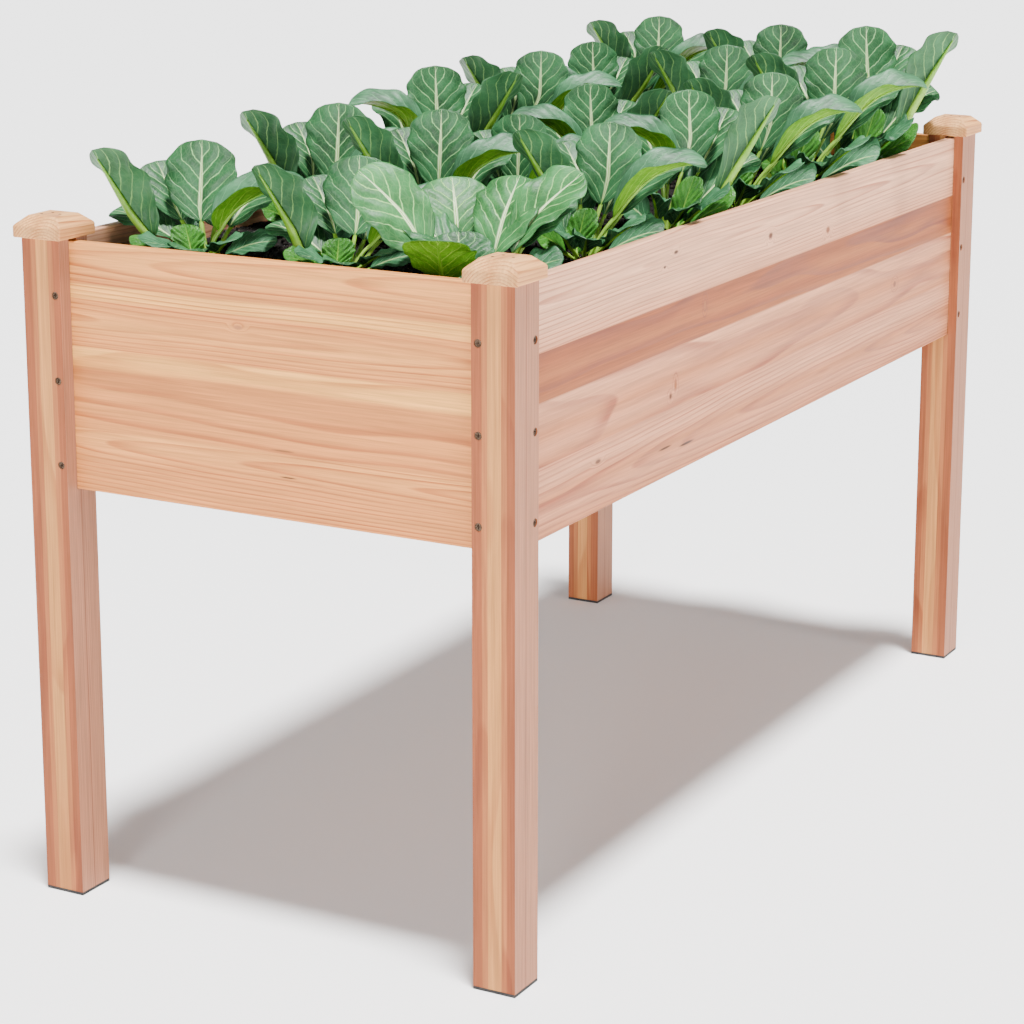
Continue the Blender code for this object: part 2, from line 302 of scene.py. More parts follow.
@dataclass(frozen=True)
class Stave:
    """One glued strip of a board.

    Attributes:
        start: Share of the board's width where it begins.
        heart: Where the tree's centre lies across the board, as a share of its width.
        depth: How far the tree's centre lies behind the board, in metres.
        lean: How fast the grain runs out of the face, metres for each metre along.
        tones: Its colours, evenly spaced from its start to the next strip.
        held: Share of the board's width over which its first colour stays as it is.
    """

    start: float
    heart: float
    depth: float
    lean: float
    tones: tuple[Tone, ...]
    held: float = 0.0

    def bands(self, end: float) -> list[tuple[float, Sequence[float]]]:
        """Works out its colour stops, between its start and the next strip's, clear of the glue lines.

        Args:
            end: Share of the board's width where it ends.

        Returns:
            (share of the board's width, linear colour) pairs.
        """
        first, last = self.start + GLUE_CLEAR, end - GLUE_CLEAR
        colors = [linear(tone.value) for tone in self.tones]
        if not self.held:
            return list(zip(np.linspace(first, last, len(colors)), colors))
        after = np.linspace(first + self.held + SAPWOOD_EDGE, last, len(colors) - 1)
        return [(first, colors[0]), (first + self.held, colors[0]), *zip(after, colors[1:])]


@dataclass(frozen=True)
class PlanedFir:
    """Planed softwood: growth rings cut through by the face, so arches and fine parallel lines.

    The rings are cylinders about each stave's own tree centre, which leans a little, so every
    face and end of a board shows its own cut of the same rings. Sapwood is cream and heartwood
    is peach to red-brown, in bands along the grain.
    """

    name: str
    grain: Axis
    across: Axis
    staves: tuple[Stave, ...]
    side_tones: tuple[tuple[float, Tone], ...] = ()
    blemishes: tuple[Blemish, ...] = ()
    from_top: bool = False
    ring_gap: float = 0.0042
    ring_tint: str = "#a86a42"
    ring_strength: float = 0.75
    drift: float = 0.0
    end_grain: float = 0.22

    def coordinates(self, tree: bpy.types.NodeTree, low: Vector, high: Vector) -> tuple[bpy.types.Node, ...]:
        """Works out the place along the grain, across it and in from the face, from the board's middle.

        Args:
            tree: The material's node tree.
            low: The board's lowest corner.
            high: Its highest corner.

        Returns:
            Nodes for along, across, depth, and the share of the width from 0 to 1.
        """
        place = add_node(tree, "TexCoord")
        split = add_node(tree, "SeparateXYZ", {0: place.outputs["Object"]})
        depth_axis = 3 - self.grain.value - self.across.value
        middle = (low + high) / 2
        found = [
            add_node(tree, "Math", {0: split.outputs[axis], 1: middle[axis] - shift}, operation="SUBTRACT")
            for axis, shift in ((self.grain.value, self.drift), (self.across.value, 0.0), (depth_axis, 0.0))
        ]
        ends = (low[self.across.value], high[self.across.value])
        first, last = reversed(ends) if self.from_top else ends
        reach = {0: split.outputs[self.across.value], "From Min": first, "From Max": last}
        return (*found, add_node(tree, "MapRange", reach))

    def rings(
        self, tree: bpy.types.NodeTree, board: tuple[bpy.types.Node, ...], width: float
    ) -> bpy.types.Node:
        """Works out the growth ring factor, 0 in pale early wood and 1 in the dark late line.

        The radius is the distance from the stave's leaning tree centre, with slow noise added,
        and each ring is its fraction of the ring gap.

        Args:
            tree: The material's node tree.
            board: Nodes for along, across, depth and share.
            width: The board's width in metres.

        Returns:
            The ring factor's node.
        """
        along, across, depth, share = board
        turn = -1.0 if self.from_top else 1.0
        centres = add_node(tree, "ValToRGB", {0: share})
        stops = [(s.start, (s.heart, s.depth * 5, s.lean * 5 + 0.5, 1.0)) for s in self.staves]
        set_ramp(centres, stops, "CONSTANT")
        stave = add_node(tree, "SeparateColor", {0: centres})
        heart = add_node(tree, "Math", {0: stave.outputs[0], 1: 0.5}, operation="SUBTRACT")
        slow = add_node(tree, "CombineXYZ", {0: along, 1: across, 2: depth})
        slow = add_node(tree, "VectorMath", {0: slow, 1: (1.7, 8.0, 8.0)}, operation="MULTIPLY")
        slow = add_node(tree, "VectorMath", {0: slow, 1: stave.outputs[0]}, operation="ADD")
        noise = add_node(tree, "TexNoise", {"Vector": slow, "Scale": 1.0, "Detail": 2.0, "Roughness": 0.5})
        waves = add_node(tree, "SeparateColor", {0: noise.outputs["Color"]})
        swing = add_node(tree, "Math", {0: waves.outputs[0], 1: 0.020, 2: -0.010}, operation="MULTIPLY_ADD")
        sink = add_node(tree, "Math", {0: waves.outputs[1], 1: 0.020, 2: -0.010}, operation="MULTIPLY_ADD")
        off = add_node(tree, "Math", {0: heart, 1: -width * turn, 2: across}, operation="MULTIPLY_ADD")
        off = add_node(tree, "Math", {0: off, 1: swing}, operation="ADD")
        lean = add_node(tree, "Math", {0: stave.outputs[2], 1: 0.5}, operation="SUBTRACT")
        lean = add_node(tree, "Math", {0: lean, 1: 0.2}, operation="MULTIPLY")
        back = add_node(tree, "Math", {0: along, 1: lean, 2: sink}, operation="MULTIPLY_ADD")
        behind = add_node(tree, "Math", {0: stave.outputs[1], 1: 0.2, 2: back}, operation="MULTIPLY_ADD")
        behind = add_node(tree, "Math", {0: behind, 1: depth}, operation="ADD")
        spot = add_node(tree, "CombineXYZ", {0: off, 1: behind})
        radius = add_node(tree, "VectorMath", {0: spot}, operation="LENGTH").outputs["Value"]
        for mark in self.blemishes:
            if mark.swirl:
                near = self.nearness(tree, board, mark, 3.2)
                radius = add_node(tree, "Math", {0: near, 1: mark.swirl, 2: radius}, operation="MULTIPLY_ADD")
        count = add_node(tree, "Math", {0: radius, 1: self.ring_gap}, operation="DIVIDE")
        part = add_node(tree, "Math", {0: count}, operation="FRACT")
        profile = add_node(tree, "ValToRGB", {0: part})
        rise = [(0.0, grey(0.0)), (0.55, grey(0.15)), (0.84, grey(1.0))]
        set_ramp(profile, [*rise, (0.93, grey(1.0)), (1.0, grey(0.0))])
        return profile

    def nearness(
        self, tree: bpy.types.NodeTree, board: tuple[bpy.types.Node, ...], mark: Blemish, reach: float
    ) -> bpy.types.Node:
        """Works out how near a point is to a blemish, 1 at its middle and 0 at reach times its size."""
        along, across = board[0], board[1]
        x = add_node(tree, "Math", {0: along, 1: mark.along}, operation="SUBTRACT")
        x = add_node(tree, "Math", {0: x, 1: mark.length / 2}, operation="DIVIDE")
        y = add_node(tree, "Math", {0: across, 1: mark.across}, operation="SUBTRACT")
        y = add_node(tree, "Math", {0: y, 1: mark.width / 2}, operation="DIVIDE")
        spot = add_node(tree, "CombineXYZ", {0: x, 1: y})
        far = add_node(tree, "VectorMath", {0: spot}, operation="LENGTH")
        reach_of = {0: far.outputs["Value"], "From Min": reach, "From Max": 0.35}
        return add_node(tree, "MapRange", reach_of, interpolation_type="SMOOTHERSTEP")

    def tone(
        self, tree: bpy.types.NodeTree, share: bpy.types.Node, along: bpy.types.Node
    ) -> bpy.types.NodeSocket:
        """Works out the wood's base colour from its bands, which waver a little inside each stave.

        Args:
            tree: The material's node tree.
            share: The share of the board's width, from 0 to 1.
            along: The place along the grain.

        Returns:
            The colour.
        """
        calm = add_node(tree, "ValToRGB", {0: share})
        stops: list[tuple[float, Sequence[float]]] = [(0.0, grey(0.0)), (0.04, grey(1.0))]
        for stave in self.staves[1:]:
            before, after = stave.start - CALM_REACH, stave.start + CALM_REACH
            stops += [(before, grey(1.0)), (stave.start, grey(0.0)), (after, grey(1.0))]
        set_ramp(calm, [*stops, (0.98, grey(1.0)), (1.0, grey(0.0))])
        spot = add_node(tree, "CombineXYZ", {0: along, 1: share})
        spot = add_node(tree, "VectorMath", {0: spot, 1: (2.6, 3.0, 1.0)}, operation="MULTIPLY")
        noise = add_node(tree, "TexNoise", {"Vector": spot, "Scale": 1.0, "Detail": 2.0})
        sway = add_node(tree, "Math", {0: noise, 1: 0.5}, operation="SUBTRACT")
        sway = add_node(tree, "Math", {0: sway, 1: calm}, operation="MULTIPLY")
        moved = add_node(tree, "Math", {0: sway, 1: 0.05, 2: share}, operation="MULTIPLY_ADD")
        bands = add_node(tree, "ValToRGB", {0: moved})
        ends = [stave.start for stave in self.staves[1:]] + [1.0]
        set_ramp(bands, [stop for stave, end in zip(self.staves, ends) for stop in stave.bands(end)])
        return bands.outputs[0]

    def side(
        self, tree: bpy.types.NodeTree, bands: bpy.types.NodeSocket, span: tuple[float, float]
    ) -> bpy.types.NodeSocket:
        """Mixes in the bands of a post's other pair of faces, chosen by the way that a face points.

        Args:
            tree: The material's node tree.
            bands: The colour of the faces that look out of the board.
            span: Where the other faces begin and end, through the board.

        Returns:
            The mixed colour.
        """
        place = add_node(tree, "TexCoord")
        split = add_node(tree, "SeparateXYZ", {0: place.outputs["Object"]})
        away = add_node(tree, "SeparateXYZ", {0: place.outputs["Normal"]})
        depth_axis = 3 - self.grain.value - self.across.value
        reach = {0: split.outputs[depth_axis], "From Min": span[0], "From Max": span[1]}
        other = add_node(tree, "ValToRGB", {0: add_node(tree, "MapRange", reach)})
        set_ramp(other, [(share, linear(tone.value)) for share, tone in self.side_tones])
        faces = add_node(tree, "Math", {0: away.outputs[self.across.value]}, operation="ABSOLUTE")
        mix = {0: faces, 6: bands, 7: other}
        return add_node(tree, "Mix", mix, data_type="RGBA").outputs[2]

    def paint(self, low: Vector, high: Vector) -> bpy.types.Material:
        """Makes the wood of one board.

        Args:
            low: The board's lowest corner.
            high: Its highest corner.

        Returns:
            The material.
        """
        material, shader = new_material(self.name)
        tree = material.node_tree
        depth_axis = 3 - self.grain.value - self.across.value
        board = self.coordinates(tree, low, high)
        along, across, depth, share = board
        ring = self.rings(tree, board, high[self.across.value] - low[self.across.value])
        base = self.tone(tree, share, along)
        if self.side_tones:
            base = self.side(tree, base, (low[depth_axis], high[depth_axis]))
        # Fibres: really under a millimetre wide, drawn at 2 mm and a decimetre long so that they show
        fine = add_node(tree, "CombineXYZ", {0: along, 1: across, 2: depth})
        fine = add_node(tree, "VectorMath", {0: fine, 1: (9.0, 430.0, 430.0)}, operation="MULTIPLY")
        fibre = add_node(tree, "TexNoise", {"Vector": fine, "Scale": 1.0, "Detail": 3.0, "Roughness": 0.65})
        # Soft darker streaks a few millimetres wide
        wide = add_node(tree, "CombineXYZ", {0: along, 1: across, 2: depth})
        wide = add_node(tree, "VectorMath", {0: wide, 1: (3.0, 95.0, 95.0)}, operation="MULTIPLY")
        streak = add_node(tree, "TexNoise", {"Vector": wide, "Scale": 1.0, "Detail": 2.0})
        fade = add_node(tree, "MapRange", {0: streak, "From Min": 0.35, "From Max": 0.7, "To Min": 0.35})
        strength = add_node(tree, "Math", {0: fade, 1: self.ring_strength}, operation="MULTIPLY")
        amount = add_node(tree, "Math", {0: ring, 1: strength}, operation="MULTIPLY")
        mix = {0: amount, 6: base, 7: linear(self.ring_tint)}
        wood = add_node(tree, "Mix", mix, data_type="RGBA", blend_type="MULTIPLY").outputs[2]
        lines = {0: fibre, "From Min": 0.32, "From Max": 0.68, "To Min": 0.78, "To Max": 1.14}
        grain = add_node(tree, "MapRange", lines)
        clouds = {0: streak, "From Min": 0.3, "From Max": 0.7, "To Min": 0.93, "To Max": 1.06}
        soft = add_node(tree, "MapRange", clouds)
        shade = add_node(tree, "Math", {0: grain, 1: soft}, operation="MULTIPLY")
        wood = add_node(tree, "VectorMath", {0: wood, 1: shade}, operation="MULTIPLY").outputs[0]
        # End grain drinks the light: a fifth darker than the faces
        facing = add_node(tree, "SeparateXYZ", {0: add_node(tree, "TexCoord").outputs["Normal"]})
        end = facing.outputs[self.grain.value]
        facing = add_node(tree, "Math", {0: end, 1: end}, operation="MULTIPLY")
        thirst = add_node(tree, "Math", {0: facing, 1: -self.end_grain, 2: 1.0}, operation="MULTIPLY_ADD")
        wood = add_node(tree, "VectorMath", {0: wood, 1: thirst}, operation="MULTIPLY").outputs[0]
        for mark in self.blemishes:
            near = self.nearness(tree, board, mark, 1.3)
            mix = {0: near, 6: wood, 7: linear(mark.tint)}
            wood = add_node(tree, "Mix", mix, data_type="RGBA").outputs[2]
        tree.links.new(wood, shader.inputs["Base Color"])
        rough = add_node(tree, "MapRange", {0: ring, "To Min": 0.62, "To Max": 0.5})
        tree.links.new(rough.outputs[0], shader.inputs["Roughness"])
        relief = add_node(tree, "Math", {0: ring, 1: 0.35, 2: fibre}, operation="MULTIPLY_ADD")
        shader.inputs["Specular IOR Level"].default_value = 0.22
        bump = add_node(tree, "Bump", {"Height": relief, "Strength": 0.35, "Distance": 0.0004})
        tree.links.new(bump.outputs[0], shader.inputs["Normal"])
        return material


@dataclass
class Timber:
    """The wooden pieces: posts, walls, caps, cleats, beam and slats."""

    def end_wall(self, name: str, drift: float) -> PlanedFir:
        """Peach staves, two of them with a cream sapwood edge along the top."""
        staves = (
            Stave(0.0, 0.06, 0.030, 0.020, (Tone.PEACH, Tone.PEACH, Tone.HONEY)),
            Stave(0.165, 0.30, 0.022, -0.016, (Tone.CREAM, Tone.TAN, Tone.PEACH, Tone.TAN), held=0.045),
            Stave(0.417, 0.52, 0.120, 0.010, (Tone.CREAM, Tone.HONEY, Tone.TAN, Tone.TAN), held=0.065),
            Stave(0.745, 0.80, 0.018, 0.026, (Tone.PEACH, Tone.TAN, Tone.TAN)),
        )
        marks = (
            Blemish(-0.016 + drift, -0.060, 0.030, 0.0022, "#7a4a28"),
            Blemish(-0.022 + drift, -0.087, 0.022, 0.0018, "#4c2e1a"),
            Blemish(0.035 + drift, 0.061, 0.012, 0.005, "#9c6440", 0.006),
        )
        return PlanedFir(name, Axis.Y, Axis.Z, staves, blemishes=marks, from_top=True, drift=drift)

    def side_wall(self, name: str, drift: float) -> PlanedFir:
        """A wide pale arched stave over a red-brown one and two pinkish ones."""
        staves = (
            Stave(0.0, 0.10, 0.012, 0.022, (Tone.PALE, Tone.PALE, Tone.PALE, Tone.PINK)),
            Stave(0.286, 0.36, 0.110, -0.012, (Tone.HEART, Tone.HEART, Tone.RUST, Tone.HEART, Tone.RUST)),
            Stave(0.476, 0.60, 0.150, 0.010, (Tone.PINK, Tone.ROSE, Tone.CLAY, Tone.ROSE, Tone.CLAY)),
            Stave(0.722, 0.88, 0.022, -0.020, (Tone.ROSE, Tone.PINK, Tone.CLAY, Tone.ROSE, Tone.CLAY)),
        )
        marks = (
            Blemish(-0.010 + drift, 0.090, 0.013, 0.008, "#5f3420", 0.016),
            Blemish(0.160 + drift, 0.072, 0.013, 0.009, "#7a4428", 0.016),
            Blemish(-0.259 + drift, 0.109, 0.012, 0.0045, "#4a2c1c", 0.006),
            Blemish(-0.286 + drift, 0.097, 0.007, 0.0035, "#4a2c1c", 0.004),
            Blemish(-0.184 + drift, 0.039, 0.007, 0.011, "#8a5230", 0.008),
            Blemish(-0.256 + drift, -0.035, 0.006, 0.012, "#8a4c22", 0.006),
            Blemish(-0.268 + drift, -0.045, 0.007, 0.007, "#5a2e16", 0.006),
            Blemish(-0.227 + drift, -0.105, 0.040, 0.0035, "#3f2418"),
            Blemish(-0.280 + drift, -0.099, 0.034, 0.0030, "#4a2a18"),
            Blemish(-0.437 + drift, -0.079, 0.014, 0.0050, "#5f3620", 0.005),
            Blemish(0.386 + drift, -0.030, 0.010, 0.008, "#7a4428", 0.010),
        )
        return PlanedFir(name, Axis.X, Axis.Z, staves, blemishes=marks, from_top=True, drift=drift)

    def post(self, name: str, drift: float, flip: bool) -> PlanedFir:
        """Upright strips: red heartwood at the edges, cream between, with dead straight lines."""
        staves = (
            Stave(0.0, 0.5, 0.19, 0.006, (Tone.POST_RED, Tone.POST_BROWN, Tone.POST_BROWN), held=0.22),
            Stave(0.365, 0.3, 0.16, -0.004, (Tone.POST_CREAM, Tone.POST_CREAM)),
            Stave(0.68, 0.8, 0.14, 0.008, (Tone.POST_BROWN, Tone.POST_RED, Tone.POST_RED), held=0.12),
        )
        plain = Tone.POST_SIDE
        side = ((0.0, plain), (0.44, plain), (0.47, Tone.GLUE), (0.50, plain), (1.0, plain))
        return PlanedFir(
            name, Axis.Z, Axis.Y, staves, side_tones=side, from_top=flip, drift=drift,
            ring_gap=0.0031, ring_tint="#b97a55", ring_strength=0.5,
        )

    def cap(self, name: str, drift: float) -> PlanedFir:
        """A pale block with its grain along the planter, so ring ends show on two of its sides."""
        tones = (Tone.CAP_DARK, Tone.CAP_PALE, Tone.CAP_DARK, Tone.CAP_PALE, Tone.CAP_DARK)
        return PlanedFir(
            name, Axis.X, Axis.Y, (Stave(0.0, 0.35, 0.034, 0.05, tones),), drift=drift,
            ring_gap=0.0030, ring_tint="#a86c44", ring_strength=0.8,
        )

    def floor_board(self, name: str, grain: Axis, across: Axis, drift: float) -> PlanedFir:
        """Plain sawn boards under the bed."""
        tones = (Tone.SAWN_DARK, Tone.SAWN_PALE, Tone.SAWN_DARK, Tone.SAWN_PALE)
        return PlanedFir(name, grain, across, (Stave(0.0, 0.4, 0.04, 0.015, tones),), drift=drift)

    def finish(self) -> None:
        """Dresses every wooden node with a board of its own."""
        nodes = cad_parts
        woods: dict[str, PlanedFir] = {}
        for index, end in enumerate(("left", "right")):
            woods[f"end_wall_{end}"] = self.end_wall(f"fir_end_wall_{end}", 0.31 * index)
        for index, side in enumerate(("front", "back")):
            woods[f"side_wall_{side}"] = self.side_wall(f"fir_side_wall_{side}", 0.57 * index)
        for index, corner in enumerate(("front_left", "front_right", "back_left", "back_right")):
            woods[f"post_{corner}"] = self.post(f"laminated_fir_post_{corner}", 0.43 * index, index % 2 == 0)
            woods[f"cap_{corner}"] = self.cap(f"fir_cap_{corner}", 0.021 * index)
        for name in nodes:
            if name.startswith("floor_slat"):
                woods[name] = self.floor_board(f"sawn_fir_{name}", Axis.Y, Axis.X, 0.17 * len(woods))
            elif name.startswith("cleat") or name == "middle_beam":
                woods[name] = self.floor_board(f"sawn_fir_{name}", Axis.X, Axis.Z, 0.23 * len(woods))
        for name, wood in woods.items():
            dress(nodes[name], wood.paint(*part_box(name)))
            LOG.info("%s finished in %s", name, wood.name)


# ---------------------------------------------------------------- hardware


@dataclass(frozen=True)
class BronzedSteel:
    """Bronze-coated hardened screw steel: dark brown metal, rubbed brighter in patches."""

    name: str = "bronze_coated_steel"
    dark: str = "#3a2a20"
    rubbed: str = "#8d7a68"

    def paint(self) -> bpy.types.Material:
        """Makes the metal, with grains of wear about half a millimetre across."""
        material, shader = new_material(self.name)
        tree = material.node_tree
        place = add_node(tree, "TexCoord").outputs["Object"]
        wear = add_node(tree, "TexNoise", {"Vector": place, "Scale": 1900.0, "Detail": 3.0})
        worn = add_node(tree, "MapRange", {0: wear, "From Min": 0.48, "From Max": 0.72})
        mix = {0: worn, 6: linear(self.dark), 7: linear(self.rubbed)}
        color = add_node(tree, "Mix", mix, data_type="RGBA")
        tree.links.new(color.outputs[2], shader.inputs["Base Color"])
        rough = add_node(tree, "MapRange", {0: wear, "To Min": 0.35, "To Max": 0.6})
        tree.links.new(rough.outputs[0], shader.inputs["Roughness"])
        shader.inputs["Metallic"].default_value = 1.0
        return material


@dataclass(frozen=True)
class FootBand:
    """Black matt finish of the thin pads along each leg's foot: faintly pitted, greyed by dust."""

    name: str = "black_foot_band"
    tint: str = "#1c1b1a"
    dusty: str = "#3b3835"

    def paint(self) -> bpy.types.Material:
        """Makes the black finish, with pits a millimetre apart."""
        material, shader = new_material(self.name)
        tree = material.node_tree
        place = add_node(tree, "TexCoord").outputs["Object"]
        dust = add_node(tree, "TexNoise", {"Vector": place, "Scale": 120.0, "Detail": 4.0})
        dusted = add_node(tree, "MapRange", {0: dust, "From Min": 0.5, "From Max": 0.8})
        mix = {0: dusted, 6: linear(self.tint), 7: linear(self.dusty)}
        color = add_node(tree, "Mix", mix, data_type="RGBA")
        tree.links.new(color.outputs[2], shader.inputs["Base Color"])
        pits = add_node(tree, "TexNoise", {"Vector": place, "Scale": 1000.0, "Detail": 1.0})
        bump = add_node(tree, "Bump", {"Height": pits, "Strength": 0.3, "Distance": 0.0002})
        tree.links.new(bump.outputs[0], shader.inputs["Normal"])
        shader.inputs["Roughness"].default_value = 0.82
        return material


@dataclass
class Hardware:
    """The screws, the foot pads and the nails that hold the caps."""

    nail_radius: float = 0.0017
    nail_rise: float = 0.00025
    nail_depth: float = 0.0012
    nail_sides: int = 12
    nail_spots: tuple[tuple[float, float], ...] = ((-0.008, 0.009), (0.004, 0.004), (-0.002, -0.010))

    def nails(self) -> bpy.types.Object:
        """Builds the cap nails: each is a low dome turned about Z and sunk in the cap's top.

        The radius runs as a quarter wave from the crown to the rim, then straight down.

        Returns:
            One object with every nail head.
        """
        rise = np.array([0.97, 0.75, 0.0, -self.nail_depth / self.nail_rise]) * self.nail_rise
        radius = np.array([0.5, 0.85, 1.0, 1.0]) * self.nail_radius
        angle = np.linspace(0, 2 * np.pi, self.nail_sides, endpoint=False)
        around = (radius[:, None] * np.cos(angle), radius[:, None] * np.sin(angle), rise[:, None])
        rings = np.stack(np.broadcast_arrays(*around), -1).reshape(-1, 3)
        shape = np.concatenate([rings, [(0.0, 0.0, self.nail_rise), (0.0, 0.0, -self.nail_depth)]])
        heads = Patchwork()
        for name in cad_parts:
            if not name.startswith("cap_"):
                continue
            low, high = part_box(name)
            middle = (low + high) / 2
            for x, y in self.nail_spots:
                spot = np.array([middle.x + x, middle.y + y, high.z])
                points = shape + spot
                heads.add(points, capped_tube(len(rise), self.nail_sides)[:, ::-1], 0, points[:, :2])
        return heads.build("cap_nails", [BronzedSteel("blackened_nail_steel", "#2b211b", "#5d4c3f").paint()])

    def finish(self) -> None:
        """Dresses the screws and pads, and builds the nails."""
        steel = BronzedSteel().paint()
        # A flat black band along the foot of each leg, given to the pads there
        foot_black = FootBand().paint()
        for name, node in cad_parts.items():
            if name.startswith("screw_"):
                dress(node, steel)
            elif name.startswith("foot_pad_"):
                dress(node, foot_black)
        nails = self.nails()
        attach(nails, "root")
        LOG.info("%s built, with the screws and foot pads finished", nails.name)


# ---------------------------------------------------------------- liner and potting mix


@dataclass(frozen=True)
class LandscapeCloth:
    """Woven polypropylene landscape cloth: flat black tapes over and under each other, a dull sheen."""

    name: str = "woven_landscape_cloth"
    tape_mm: float = 2.0
    dark: str = "#17181a"
    light: str = "#2f3236"

    def paint(self) -> bpy.types.Material:
        """Makes the cloth, with tapes of their real width drawn on the piece's UV map in metres."""
        material, shader = new_material(self.name)
        tree = material.node_tree
        place = add_node(tree, "TexCoord").outputs["UV"]
        check = add_node(tree, "TexChecker", {"Vector": place, "Scale": 1000.0 / self.tape_mm})
        fibre = add_node(tree, "TexNoise", {"Vector": place, "Scale": 900.0, "Detail": 2.0})
        tone = add_node(tree, "Math", {0: check.outputs["Fac"], 1: 0.6, 2: fibre}, operation="MULTIPLY_ADD")
        mix = {0: tone, 6: linear(self.dark), 7: linear(self.light)}
        color = add_node(tree, "Mix", mix, data_type="RGBA", clamp_factor=True)
        tree.links.new(color.outputs[2], shader.inputs["Base Color"])
        bump = add_node(tree, "Bump", {"Height": tone, "Strength": 0.4, "Distance": 0.0003})
        tree.links.new(bump.outputs[0], shader.inputs["Normal"])
        shader.inputs["Roughness"].default_value = 0.6
        return material


@dataclass(frozen=True)
class PottingMix:
    """Moist peat and composted bark: near black, matt, with rare brown and pale specks."""

    name: str = "moist_peat_mix"
    dark: str = "#090807"
    mid: str = "#191614"
    speck: str = "#463b32"

    def paint(self) -> bpy.types.Material:
        """Makes the mix, with crumbs of 2 to 4 mm in both colour and relief."""
        material, shader = new_material(self.name)
        tree = material.node_tree
        place = add_node(tree, "TexCoord").outputs["Object"]
        crumbs = add_node(tree, "TexVoronoi", {"Vector": place, "Scale": 420.0})
        cells = add_node(tree, "SeparateColor", {0: crumbs.outputs["Color"]})
        tone = add_node(tree, "ValToRGB", {0: cells})
        tints = (self.dark, self.mid, self.mid, self.speck)
        set_ramp(tone, zip((0.0, 0.75, 0.95, 1.0), map(linear, tints)))
        tree.links.new(tone.outputs[0], shader.inputs["Base Color"])
        fine = add_node(tree, "TexNoise", {"Vector": place, "Scale": 700.0, "Detail": 4.0})
        height = add_node(tree, "Math", {0: crumbs, 1: -0.8, 2: fine}, operation="MULTIPLY_ADD")
        bump = add_node(tree, "Bump", {"Height": height, "Strength": 0.9, "Distance": 0.0015})
        tree.links.new(bump.outputs[0], shader.inputs["Normal"])
        shader.inputs["Roughness"].default_value = 0.95
        shader.inputs["Specular IOR Level"].default_value = 0.15
        return material


